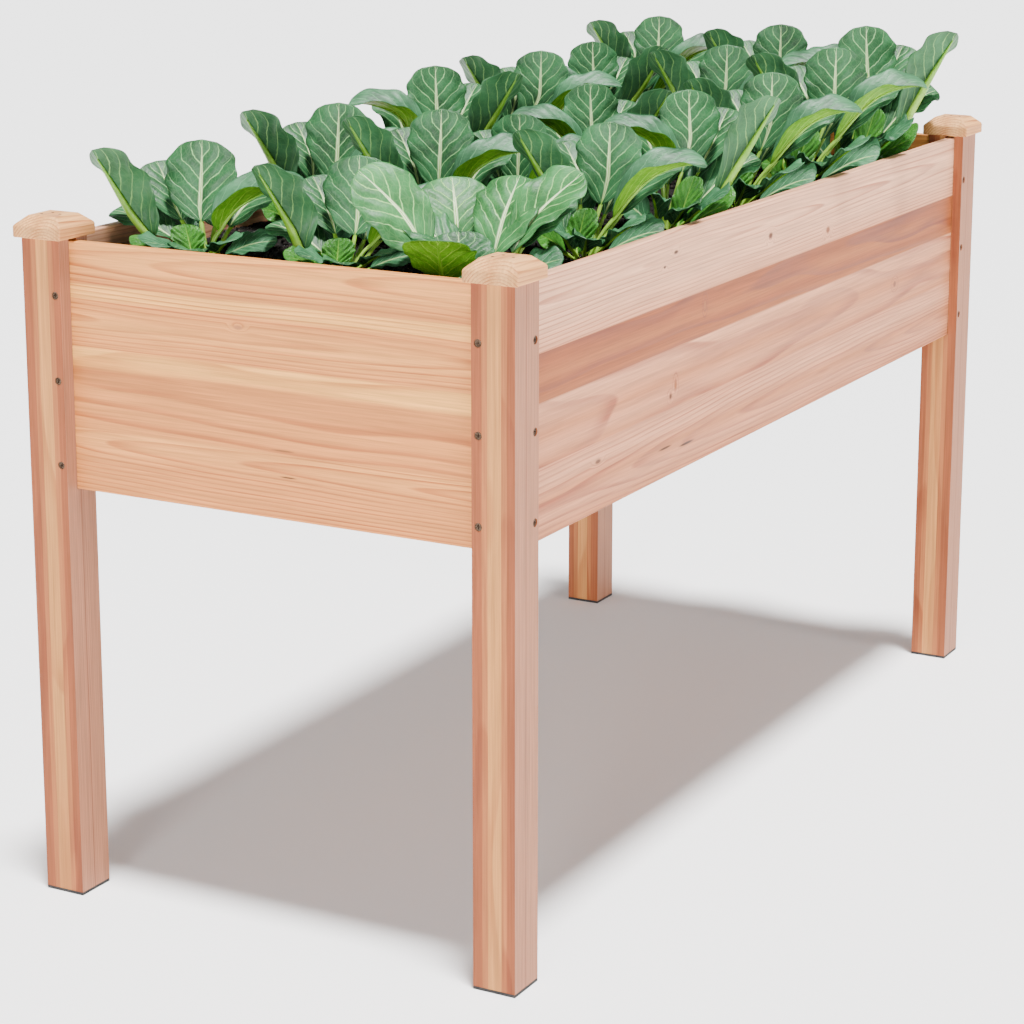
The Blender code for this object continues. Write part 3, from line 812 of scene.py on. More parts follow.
@dataclass
class Bed:
    """The liner and the potting mix, shaped to the notched inside of the planter."""

    cell: float = 0.005
    roughness: float = 0.0035
    soil_dip: float = 0.002
    crumb_count: int = 8500
    crumb_size: tuple[float, float] = (0.0012, 0.0036)
    cloth_thickness: float = 0.0009
    around: int = 720
    up: int = 26
    sag: float = 0.0016

    def notch(self) -> Grid:
        """Where a post's notch begins, (x, y), with the liner's room kept clear."""
        high = np.array(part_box("potting_mix")[1])
        wall_x = np.array(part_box("end_wall_right")[0])[0]
        room = wall_x - high[0]
        post = np.array(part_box("post_back_right")[0])
        return post[:2] - room

    def mix(self) -> bpy.types.Object:
        """Builds the potting mix as one closed block with a lumpy top.

        The top's height is the sum of three layers of smoothed noise of 60, 22 and 9 mm, on a
        square grid that leaves out the posts' notches. The sides and the flat bottom close it.

        Returns:
            The object.
        """
        low, high = (np.array(corner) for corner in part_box("potting_mix"))
        notch = self.notch()
        counts = np.ceil((high - low)[:2] / self.cell).astype(int) + 1
        xs = np.linspace(low[0], high[0], counts[0])
        ys = np.linspace(low[1], high[1], counts[1])
        xs[np.abs(np.abs(xs) - notch[0]).argsort()[:2]] = (-notch[0], notch[0])
        ys[np.abs(np.abs(ys) - notch[1]).argsort()[:2]] = (-notch[1], notch[1])
        xs.sort()
        ys.sort()
        x, y = np.meshgrid(xs, ys, indexing="ij")
        height = self.relief(x.shape)
        top = np.stack([x, y, high[2] - self.soil_dip + height], -1).reshape(-1, 3)
        floor = np.stack([x, y, np.full_like(x, low[2])], -1).reshape(-1, 3)
        middle_x, middle_y = (xs[1:] + xs[:-1]) / 2, (ys[1:] + ys[:-1]) / 2
        kept = ~((np.abs(middle_x)[:, None] > notch[0]) & (np.abs(middle_y)[None, :] > notch[1]))
        block = Patchwork()
        count = len(top)
        quads = grid_quads(*x.shape)[kept.ravel()][:, ::-1]
        sides = []
        padded = np.pad(kept, 1)
        width = x.shape[1]
        edges = {
            (1, 0): ((1, 0), (1, 1)),
            (-1, 0): ((0, 1), (0, 0)),
            (0, 1): ((1, 1), (0, 1)),
            (0, -1): ((0, 0), (1, 0)),
        }
        for (di, dj), (a, b) in edges.items():
            beyond = padded[1 + di : padded.shape[0] - 1 + di, 1 + dj : padded.shape[1] - 1 + dj]
            i, j = np.nonzero(kept & ~beyond)
            first = (i + a[0]) * width + j + a[1]
            second = (i + b[0]) * width + j + b[1]
            sides.append(np.stack([first + count, second + count, second, first], -1))
        points = np.concatenate([top, floor])
        faces = np.concatenate([quads, quads[:, ::-1] + count, *sides])
        used = np.zeros(len(points), bool)
        used[faces] = True
        number = np.cumsum(used) - 1
        block.add(points[used], number[faces], 0, points[used][:, :2])
        return block.build("potting_mix_bed", [PottingMix().paint()])

    def relief(self, shape: tuple[int, int]) -> Grid:
        """Sums layers of smoothed noise, each a Gaussian band of the noise's spectrum."""
        draw = np.random.default_rng(5)
        total = np.zeros(shape)
        fx = np.fft.fftfreq(shape[0], self.cell)[:, None]
        fy = np.fft.fftfreq(shape[1], self.cell)[None, :]
        for size, share in ((0.060, 0.5), (0.022, 0.35), (0.009, 0.4)):
            spectrum = np.fft.fft2(draw.standard_normal(shape)) * np.exp(-((fx**2 + fy**2) * size**2) * 2)
            layer = np.real(np.fft.ifft2(spectrum))
            total += share * layer / layer.std()
        return self.roughness * np.clip(total, -2.2, 2.0) * 0.5

    def crumbs(self) -> bpy.types.Object:
        """Scatters crumbs of bark and peat over the mix: small uneven lumps, squashed and turned.

        Each crumb is a cube whose corners are pulled in at random.

        Returns:
            One object with every crumb.
        """
        draw = np.random.default_rng(11)
        low, high = (np.array(corner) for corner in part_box("potting_mix"))
        notch = self.notch()
        spots = draw.uniform(low[:2] + 0.004, high[:2] - 0.004, (self.crumb_count, 2))
        spots = spots[~np.all(np.abs(spots) > notch - 0.004, axis=1)]
        count = len(spots)
        cube = np.array([(x, y, z) for z in (-1, 1) for y in (-1, 1) for x in (-1, 1)], float)
        quads = np.array([(0, 2, 3, 1), (4, 5, 7, 6), (0, 1, 5, 4), (2, 6, 7, 3), (0, 4, 6, 2), (1, 3, 7, 5)])
        lumps = cube[None] * draw.uniform(0.45, 1.0, (count, 8, 1))
        lumps = lumps * draw.uniform(0.5, 1.0, (count, 1, 3))
        turn = np.linalg.qr(draw.standard_normal((count, 3, 3)))[0]
        turn *= np.sign(np.linalg.det(turn))[:, None, None]
        smallest, largest = self.crumb_size
        sizes = draw.uniform(0, 1, count) ** 2.5 * (largest - smallest) + smallest
        lumps = np.einsum("nij,nkj->nki", turn, lumps) * sizes[:, None, None]
        rise = high[2] + draw.uniform(-0.002, 0.0014, count)
        lumps += np.concatenate([spots, rise[:, None]], 1)[:, None, :]
        faces = (quads[None] + 8 * np.arange(count)[:, None, None]).reshape(-1, 4)
        heap = Patchwork()
        points = lumps.reshape(-1, 3)
        heap.add(points, faces, 0, points[:, :2])
        bark = PottingMix("composted_bark_crumbs", "#0c0a09", "#221d1a", "#5a4c40")
        return heap.build("bark_crumbs", [bark.paint()])

    def outline(self, inset: float) -> Grid:
        """Walks the notched outline of the liner, evenly spaced, pulled in by an inset.

        Args:
            inset: Distance in from the liner's outer face, in metres.

        Returns:
            (around, 2) points, anticlockwise.
        """
        high = np.array(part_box("liner")[1])[:2] - inset
        wall_x = np.array(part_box("end_wall_right")[0])[0]
        room = wall_x - np.array(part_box("liner")[1])[0]
        near = np.array(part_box("post_back_right")[0])[:2] - room - inset
        corner = np.array([(high[0], near[1]), (near[0], near[1]), (near[0], high[1])])
        flip_x, flip_y = np.array([-1.0, 1.0]), np.array([1.0, -1.0])
        path = np.concatenate([corner, (corner * flip_x)[::-1], -corner, (corner * flip_y)[::-1]])
        path = np.concatenate([path, path[:1]])
        steps = np.concatenate([[0.0], np.cumsum(np.linalg.norm(np.diff(path, axis=0), axis=1))])
        even = np.linspace(0, steps[-1], self.around, endpoint=False)
        return np.stack([np.interp(even, steps, path[:, 0]), np.interp(even, steps, path[:, 1])], 1)

    def liner(self) -> bpy.types.Object:
        """Builds the liner: a cloth laid over the slats and turned up the walls, as one thin shell.

        A point runs from the middle of the floor out to the outline and then up the wall. Where
        the cloth spans a gap between slats it sags as a half cosine. The inner face follows the
        outer one a cloth's thickness inside it.

        Returns:
            The object.
        """
        low, high = (np.array(corner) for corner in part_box("liner"))
        flat_steps, wall_steps = self.up, 10
        part = np.concatenate([np.linspace(0, 1, flat_steps + 1)[1:], np.ones(wall_steps - 1)])
        climb = np.concatenate([np.zeros(flat_steps), np.linspace(0, 1, wall_steps)[1:]])
        shells, middles = [], []
        for inset, lift in ((0.0, 0.0), (self.cloth_thickness, self.cloth_thickness)):
            edge = self.outline(inset)
            xy = part[:, None, None] * edge[None]
            height = low[2] + lift + climb * (high[2] - low[2] - lift)
            z = np.broadcast_to(height[:, None], xy.shape[:2]).copy()
            z -= self.gap_share(xy[..., 0], xy[..., 1]) * self.sag * (climb[:, None] == 0)
            shells.append(np.concatenate([xy, z[..., None]], -1))
            middles.append((0.0, 0.0, low[2] + lift))
        whole = np.concatenate([shells[0], shells[1][::-1]]).reshape(-1, 3)
        points = np.concatenate([whole, middles])
        uv = np.stack([points[:, 0], points[:, 1] + points[:, 2]], 1)
        cloth = Patchwork()
        cloth.add(points, capped_tube(2 * len(part), self.around), 0, uv)
        return cloth.build("cloth_liner", [LandscapeCloth().paint()])

    def gap_share(self, x: Grid, y: Grid) -> Grid:
        """How far a point is into a gap between slats, from 0 on a slat to 1 in the gap's middle."""
        slats = [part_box(name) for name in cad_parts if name.startswith("floor_slat")]
        spans = sorted((low.x, high.x) for low, high in slats)
        total = np.zeros_like(x)
        for (_, before), (after, _) in zip(spans, spans[1:]):
            middle, half = (before + after) / 2, (after - before) / 2
            total += np.where(np.abs(x - middle) < half, np.cos((x - middle) / half * np.pi / 2) ** 2, 0.0)
        clear = np.abs(y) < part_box("cleat_back")[0].y
        beam = np.abs(y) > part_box("middle_beam")[1].y
        return total * clear * beam

    def finish(self) -> None:
        """Builds the liner, the mix and the crumbs, hides the solids that they replace, and logs their faces.
        """
        liner = self.liner()
        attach(liner, "root")
        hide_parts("liner")
        mix = self.mix()
        crumbs = self.crumbs()
        for piece in (mix, crumbs):
            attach(piece, "root")
        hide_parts("potting_mix")
        for piece in (liner, mix, crumbs):
            LOG.info("%s built, %d faces", piece.name, len(piece.data.polygons))


# ---------------------------------------------------------------- greens


class Coat(Enum):
    """How a leaf's upper face looks."""

    WAXY = 0
    PALE = 1
    YOUNG = 2
    # Partly a real blue-green wax bloom and partly painted shade: greens held down for the flatter leaves,
    # whose tops face the overhead lamp
    BLUISH_SHADED = 3


class Back(Enum):
    """How a leaf's lower face looks: dulled by wax, or bright yellow-green, partly its own paler colour and
    partly painted light shining through it.
    """

    WAXY = 4
    BRIGHT = 5


STALK_SLOT = 6


@dataclass(frozen=True)
class Veins:
    """How a leaf is veined: the pairs of side veins, and how far each runs up as it goes out."""

    pairs: float = 5.2
    sweep: float = 0.46


@dataclass(frozen=True)
class LeafSkin:
    """Brassica leaf skin: a blue-green wax bloom over green, pale veins, and a matt silk sheen."""

    name: str
    deep: str
    light: str
    vein: str
    midrib: str
    net: float = 0.10
    roughness: float = 0.46
    relief: float = 0.0006
    veins: Veins = Veins()

    def paint(self) -> bpy.types.Material:
        """Makes the skin on the leaf's own UV map: U across from edge to edge, V from stalk to tip."""
        material, shader = new_material(self.name)
        tree = material.node_tree
        place = add_node(tree, "TexCoord")
        uv = add_node(tree, "SeparateXYZ", {0: place.outputs["UV"]})
        wobble = add_node(tree, "TexNoise", {"Vector": place.outputs["UV"], "Scale": 7.0, "Detail": 2.0})
        wobble = add_node(tree, "Math", {0: wobble, 1: 0.5}, operation="SUBTRACT")
        signed = add_node(tree, "Math", {0: uv.outputs[0], 1: 2.0, 2: -1.0}, operation="MULTIPLY_ADD")
        out = add_node(tree, "Math", {0: signed}, operation="ABSOLUTE")
        # Side veins: constant steps of height less sweep times distance out
        upward = {0: out, 1: -self.veins.sweep, 2: uv.outputs[1]}
        level = add_node(tree, "Math", upward, operation="MULTIPLY_ADD")
        level = add_node(tree, "Math", {0: wobble, 1: 0.09, 2: level}, operation="MULTIPLY_ADD")
        side = add_node(tree, "Math", {0: signed, 1: 0.0}, operation="GREATER_THAN")
        steps = add_node(tree, "Math", {0: level, 1: self.veins.pairs}, operation="MULTIPLY")
        steps = add_node(tree, "Math", {0: side, 1: 0.36, 2: steps}, operation="MULTIPLY_ADD")
        part = add_node(tree, "Math", {0: steps, 1: 0.5}, operation="PINGPONG")
        thin = add_node(tree, "Math", {0: out, 1: -0.06, 2: 0.105}, operation="MULTIPLY_ADD")
        line = {0: part, "From Min": thin, "From Max": 0.006}
        lines = add_node(tree, "MapRange", line, interpolation_type="SMOOTHSTEP")
        fade = add_node(tree, "MapRange", {0: out, "From Min": 1.0, "From Max": 0.35, "To Min": 0.25})
        lines = add_node(tree, "Math", {0: lines, 1: fade}, operation="MULTIPLY")
        # Midrib: wide at the stalk, a thread at the tip
        girth = add_node(tree, "MapRange", {0: uv.outputs[1], "To Min": 0.13, "To Max": 0.01})
        girth = add_node(tree, "Math", {0: girth, 1: 0.006}, operation="MAXIMUM")
        middle = {0: out, "From Min": girth, "From Max": 0.0}
        rib = add_node(tree, "MapRange", middle, interpolation_type="SMOOTHSTEP")
        # Fine net between the veins
        cells = {"Vector": place.outputs["UV"], "Scale": 15.0}
        net = add_node(tree, "TexVoronoi", cells, feature="DISTANCE_TO_EDGE")
        mesh = add_node(tree, "MapRange", {0: net, "From Min": 0.10, "From Max": 0.0, "To Max": self.net})
        cloud = add_node(tree, "TexNoise", {"Vector": place.outputs["Object"], "Scale": 34.0, "Detail": 3.0})
        tone = add_node(tree, "MapRange", {0: cloud, "From Min": 0.32, "From Max": 0.68})
        skin = {0: tone, 6: linear(self.deep), 7: linear(self.light)}
        color = add_node(tree, "Mix", skin, data_type="RGBA").outputs[2]
        for factor, tint in ((mesh, self.vein), (lines, self.vein), (rib, self.midrib)):
            color = add_node(tree, "Mix", {0: factor, 6: color, 7: linear(tint)}, data_type="RGBA").outputs[2]
        tree.links.new(color, shader.inputs["Base Color"])
        dip = add_node(tree, "Math", {0: lines, 1: rib}, operation="MAXIMUM")
        dip = add_node(tree, "Math", {0: dip, 1: -1.0, 2: net.outputs[0]}, operation="MULTIPLY_ADD")
        bump = add_node(tree, "Bump", {"Height": dip, "Strength": 0.6, "Distance": self.relief})
        tree.links.new(bump.outputs[0], shader.inputs["Normal"])
        shader.inputs["Roughness"].default_value = self.roughness
        shader.inputs["Specular IOR Level"].default_value = 0.28
        return material


@dataclass(frozen=True)
class StalkSkin:
    """Leaf stalk: juicy pale yellow-green, glossier than the blade, with fine lengthwise ribs."""

    name: str = "leaf_stalk"
    pale: str = "#96bc48"
    green: str = "#5f9218"

    def paint(self) -> bpy.types.Material:
        """Makes the stalk, greener towards the blade."""
        material, shader = new_material(self.name)
        tree = material.node_tree
        place = add_node(tree, "TexCoord")
        uv = add_node(tree, "SeparateXYZ", {0: place.outputs["UV"]})
        ribs = add_node(tree, "Math", {0: uv.outputs[0], 1: 75.0}, operation="MULTIPLY")
        ribs = add_node(tree, "Math", {0: ribs}, operation="SINE")
        cloud = add_node(tree, "TexNoise", {"Vector": place.outputs["Object"], "Scale": 90.0})
        tone = add_node(tree, "Math", {0: uv.outputs[1], 1: 1.1, 2: cloud}, operation="MULTIPLY_ADD")
        tone = add_node(tree, "MapRange", {0: tone, "From Min": 0.4, "From Max": 1.2})
        mix = {0: tone, 6: linear(self.pale), 7: linear(self.green)}
        color = add_node(tree, "Mix", mix, data_type="RGBA")
        tree.links.new(color.outputs[2], shader.inputs["Base Color"])
        bump = add_node(tree, "Bump", {"Height": ribs, "Strength": 0.25, "Distance": 0.0003})
        tree.links.new(bump.outputs[0], shader.inputs["Normal"])
        shader.inputs["Roughness"].default_value = 0.35
        return material


@dataclass(frozen=True)
class Leaf:
    """One leaf of a plant, in millimetres and degrees.

    Attributes:
        heading: Way it grows in plan: 0 to the plant's right, 90 away, 180 left, 270 near.
        rise: Slope at the foot of the stalk.
        level: Slope at the leaf's tip.
        stalk: Length of the bare stalk.
        length: Length of the blade.
        width: Width of the blade.
        roll: Turn of the blade about its midrib, left side up.
        fold: Slope of each half up from the midrib, at the stalk and at the tip.
        wave: Height of the waves along its edge.
        pucker: Height of the swellings between its veins.
    """

    heading: float
    rise: float
    level: float
    stalk: float
    length: float
    width: float
    roll: float = 0.0
    fold: tuple[float, float] = (18.0, 6.0)
    wave: float = 2.0
    pucker: float = 1.1
    coat: Coat = Coat.WAXY
    back: Back = Back.WAXY
    swerve: float = 0.0
    foot: tuple[float, float] = (0.0, 0.0)

    rows: int = 34
    columns: int = 27
    stalk_rows: int = 26
    stalk_sides: int = 8
    thickness: float = 0.45
    bulk: float = 3.1
    widest: float = 0.58
    roundness: float = 2.15

    def path(self, share: Grid) -> tuple[Grid, Grid, Grid, Grid]:
        """Works out the midrib and its directions at shares of the whole length.

        The slope changes smoothly from rise to level and the heading drifts by swerve, and the
        midrib is the running sum of short steps along that direction.

        Args:
            share: Shares of stalk and blade together, rising from 0 to 1.

        Returns:
            Points in millimetres, then unit vectors ahead, to the left and out of the upper face.
        """
        total = self.stalk + self.length
        fine = np.linspace(0, 1, 200)
        eased = fine**1.3
        slope = np.radians(self.rise + (self.level - self.rise) * eased)
        turn = np.radians(self.heading + self.swerve * fine**2)
        ahead = np.stack([np.cos(slope) * np.cos(turn), np.cos(slope) * np.sin(turn), np.sin(slope)], -1)
        steps = (ahead[1:] + ahead[:-1]) / 2 * (total / (len(fine) - 1))
        run = np.concatenate([np.zeros((1, 3)), np.cumsum(steps, axis=0)]) + (*self.foot, 0.0)
        points = np.stack([np.interp(share, fine, run[:, k]) for k in range(3)], -1)
        forward = np.stack([np.interp(share, fine, ahead[:, k]) for k in range(3)], -1)
        forward /= np.linalg.norm(forward, axis=1, keepdims=True)
        plan = np.interp(share, fine, turn)
        left = np.stack([-np.sin(plan), np.cos(plan), np.zeros_like(plan)], -1)
        up = np.cross(forward, left)
        lean = np.radians(self.roll) * np.clip((share - 0.1) / 0.3, 0, 1)[:, None]
        rolled = left * np.cos(lean) + up * np.sin(lean)
        return points, forward, rolled, up * np.cos(lean) - left * np.sin(lean)

    def half_width(self, along: Grid) -> Grid:
        """Half the blade's width: an oval whose widest place is moved towards the tip."""
        bent = along ** (np.log(0.5) / np.log(self.widest))
        oval = (1 - np.abs(2 * bent - 1) ** self.roundness) ** (1 / self.roundness)
        return self.width / 2 * np.maximum(oval, 0.02)

    def blade(self, veins: Veins, phase: float) -> tuple[Grid, Grid]:
        """Works out the blade's upper face.

        A point goes out from the midrib by its share of the half width, up by the fold, by a
        curl that grows as the square of its distance out, by waves along the edge, and by
        swellings that are highest midway between side veins. The midrib lies in a groove.

        Args:
            veins: How the leaf is veined.
            phase: Where its edge waves start, in radians.

        Returns:
            (rows, columns, 3) points and the matching unit vectors out of the upper face.
        """
        along = np.linspace(0, 1, self.rows)
        out = np.linspace(-1, 1, self.columns)
        total = self.stalk + self.length
        points, _, left, up = self.path((self.stalk + along * self.length) / total)
        side, far = np.sign(out)[None, :], np.abs(out)[None, :]
        edge = self.half_width(along)[:, None]
        scallop = np.sin(2 * np.pi * 4.2 * along[:, None] + phase + side) * (along[:, None] > 0.1)
        edge = edge * (1 + 0.035 * scallop)
        fold = np.radians(np.interp(along, [0, 1], self.fold))[:, None]
        reach = edge * far
        envelope = np.sin(np.pi * np.clip(along, 0, 1))[:, None] ** 0.5
        steps = (along[:, None] - veins.sweep * far) * veins.pairs + 0.36 * (side > 0)
        swell = np.sin(np.pi * steps) ** 2 * 4 * far * (1 - far * 0.8)
        wave = np.sin(2 * np.pi * 2.6 * along[:, None] + phase + 1.7 * side) * far**2.5
        rise = self.pucker * swell * envelope + self.wave * wave * envelope
        rise = rise - 0.6 * np.exp(-((far / 0.07) ** 2)) * (1 - along[:, None])
        sideways = side * reach * np.cos(fold)
        rise = rise + reach * np.sin(fold) - 0.07 * reach * far * (1 + 0.5 * side)
        surface = points[:, None] + left[:, None] * sideways[..., None] + up[:, None] * rise[..., None]
        normal = np.broadcast_to(up[:, None], surface.shape)
        return surface, normal

    def grow(self, plant: Patchwork, place: "Growth", number: int) -> None:
        """Adds the leaf to a plant: a closed blade with two faces and a rim, and its stalk.

        Args:
            plant: The plant's surfaces.
            place: Where and how the plant stands.
            number: The leaf's number, which sets its edge waves.
        """
        veins = Veins()
        upper, normal = self.blade(veins, 2.1 * number + place.phase)
        lower = upper - normal * self.thickness
        rows, columns = self.rows, self.columns
        count = rows * columns
        quads = grid_quads(rows, columns)
        index = np.arange(count).reshape(rows, columns)
        loop = np.concatenate([index[0], index[1:, -1], index[-1, -2::-1], index[-2:0:-1, 0]])
        after = np.roll(loop, -1)
        rim = np.stack([after, loop, loop + count, after + count], -1)
        faces = np.concatenate([quads[:, ::-1], quads + count, rim[:, ::-1]])
        looks = [self.coat.value, self.back.value, self.coat.value]
        slots = np.repeat(looks, [len(quads), len(quads), len(rim)])
        v, u = np.meshgrid(np.linspace(0, 1, rows), np.linspace(0, 1, columns), indexing="ij")
        uv = np.tile(np.stack([u.ravel(), v.ravel()], -1), (2, 1))
        points = place.put(np.concatenate([upper.reshape(-1, 3), lower.reshape(-1, 3)]))
        plant.add(points, faces[:, ::-1] if place.mirrored else faces, slots, uv)
        self.grow_stalk(plant, place)

    def grow_stalk(self, plant: Patchwork, place: "Growth") -> None:
        """Adds the stalk, which runs on under the blade as its keel and thins to nothing near the tip.

        Its radius falls along the leaf, and it is sunk below the blade by most of that radius.
        """
        total = self.stalk + self.length
        share = np.linspace(0, (self.stalk + 0.9 * self.length) / total, self.stalk_rows)
        points, _, left, up = self.path(share)
        radius = self.bulk * (1 - share * 0.98) ** 0.9 * (0.7 + self.length / 300)
        on_blade = np.clip((share * total - self.stalk * 0.8) / 12.0, 0, 1)
        axis = points - up * (radius * 0.9 * on_blade)[:, None]
        angle = np.linspace(0, 2 * np.pi, self.stalk_sides, endpoint=False)
        across = left[:, None] * np.cos(angle)[None, :, None] * 1.15
        spoke = across + up[:, None] * np.sin(angle)[None, :, None] * 0.8
        tube = axis[:, None] + spoke * radius[:, None, None]
        quads = capped_tube(self.stalk_rows, self.stalk_sides)
        v = np.append(np.repeat(share, self.stalk_sides), (0, 1))
        turns = np.linspace(0, 1, self.stalk_sides, endpoint=False)
        u = np.append(np.tile(turns, self.stalk_rows), (0.5, 0.5))
        points = place.put(np.concatenate([tube.reshape(-1, 3), axis[:1], axis[-1:]]))
        plant.add(points, quads[:, ::-1] if place.mirrored else quads, STALK_SLOT, np.stack([u, v], -1))


@dataclass(frozen=True)
class Growth:
    """Where a plant stands and how it has grown, in metres and degrees.

    Attributes:
        row: Its crosswise row, from 1 at the left.
        line: Its line along the bed: -1 front, 0 middle, 1 back.
        size: Its size against the pattern plant.
        lift: How far its leaves stand higher on longer stalks.
        lean: How far its leaves reach to its right at that height.
        shift: How far it stands along the bed from its row.
        mirrored: True for a plant that is the pattern's mirror image.
    """

    row: int
    line: int
    size: float = 1.0
    lift: float = 0.0
    lean: float = 0.0
    shift: float = 0.0
    mirrored: bool = False
    turn: float = -61.2
    origin: tuple[float, float, float] = (0.0, 0.0, 0.0)

    @property
    def phase(self) -> float:
        """A number of its own, so that no two plants wave alike."""
        return 1.3 * self.row + 2.9 * self.line

    def put(self, points: Grid) -> Grid:
        """Places points of the pattern plant, in millimetres, on this plant's spot.

        They are mirrored, scaled, stretched up and leaned by a smooth share of their height,
        turned about the plant's axis and moved to its origin.
        """
        local = points / 1000 * self.size
        if self.mirrored:
            local = local * (-1, 1, 1)
        share = np.clip(local[:, 2] / 0.06, 0, 1)
        share = share * share * (3 - 2 * share)
        x = local[:, 0] + self.lean * share
        z = local[:, 2] + self.lift * share
        angle = np.radians(self.turn)
        turned_x = x * np.cos(angle) - local[:, 1] * np.sin(angle)
        turned_y = x * np.sin(angle) + local[:, 1] * np.cos(angle)
        return np.stack([turned_x, turned_y, z], -1) + self.origin


LOWER_LEAVES = (
    Leaf(264, 34, 4, 20, 54, 42, roll=-8, fold=(20, 6), wave=2.2, foot=(-2, -8)),
    Leaf(304, 40, 8, 24, 58, 42, roll=14, fold=(24, 6), wave=2.0, coat=Coat.BLUISH_SHADED, foot=(6, -8)),
    Leaf(232, 38, 6, 22, 56, 42, roll=-16, fold=(22, 6), wave=2.2, coat=Coat.BLUISH_SHADED, foot=(-8, -6)),
    Leaf(72, 54, 6, 42, 92, 68, fold=(20, 6), wave=2.4, foot=(4, 12)),
    Leaf(112, 44, -2, 38, 86, 64, fold=(20, 6), wave=2.2, coat=Coat.BLUISH_SHADED, foot=(-4, 12)),
    Leaf(150, 42, 4, 34, 78, 58, roll=-10, fold=(22, 6), wave=2.0, foot=(-8, 6)),
)

PATTERN_PLANT = (
    Leaf(186, 60, 58, 30, 110, 78, roll=40, fold=(46, 20), wave=3.0, foot=(-34, 4), bulk=7.0),
    Leaf(80, 66, 84, 44, 88, 80, fold=(10, 2), wave=2.0),
    Leaf(
        4, 66, -10, 38, 116, 66, roll=16, fold=(74, 14), wave=1.8,
        coat=Coat.BLUISH_SHADED, back=Back.BRIGHT, foot=(2, 0),
    ),
    Leaf(
        96, 56, 72, 8, 36, 38, fold=(20, 14), wave=1.6, pucker=2.2,
        coat=Coat.YOUNG, back=Back.BRIGHT, foot=(-12, -10),
    ),
    Leaf(352, 34, 0, 16, 64, 44, roll=26, fold=(22, 4), wave=1.6, coat=Coat.BLUISH_SHADED, foot=(10, -10)),
    Leaf(120, 58, 36, 48, 82, 62, roll=-8, fold=(20, 6), foot=(-6, 10)),
    Leaf(40, 52, 20, 44, 84, 62, roll=16, fold=(20, 8), foot=(8, 10)),
    Leaf(212, 34, 6, 14, 56, 40, roll=-26, fold=(20, 4), coat=Coat.YOUNG, back=Back.BRIGHT, foot=(-14, -6)),
    *LOWER_LEAVES,
)

SPREADING_PLANT = (
    Leaf(160, 52, 36, 30, 106, 68, roll=-46, fold=(14, 2), wave=2.0, coat=Coat.PALE, foot=(-44, 12)),
    Leaf(98, 56, 40, 40, 70, 74, fold=(10, 0), wave=2.0, coat=Coat.PALE, foot=(-30, 22)),
    Leaf(58, 56, 48, 30, 82, 74, roll=6, fold=(12, 2), wave=1.8, coat=Coat.PALE, foot=(-6, 0)),
    Leaf(
        12, 54, 34, 34, 100, 66, roll=34, fold=(36, 8), wave=3.2,
        coat=Coat.PALE, back=Back.BRIGHT, foot=(2, 10),
    ),
    Leaf(90, 50, 40, 10, 48, 72, fold=(8, 2), wave=1.6, foot=(-32, -14)),
    Leaf(264, 42, 34, 14, 58, 74, fold=(16, 6), wave=1.6, back=Back.BRIGHT, foot=(-46, -4)),
    Leaf(352, 34, 6, 18, 56, 40, roll=24, fold=(20, 4), coat=Coat.BLUISH_SHADED, foot=(6, -8)),
    Leaf(40, 50, 20, 40, 76, 60, roll=16, fold=(18, 6), foot=(10, 14)),
    *LOWER_LEAVES[3:],
)


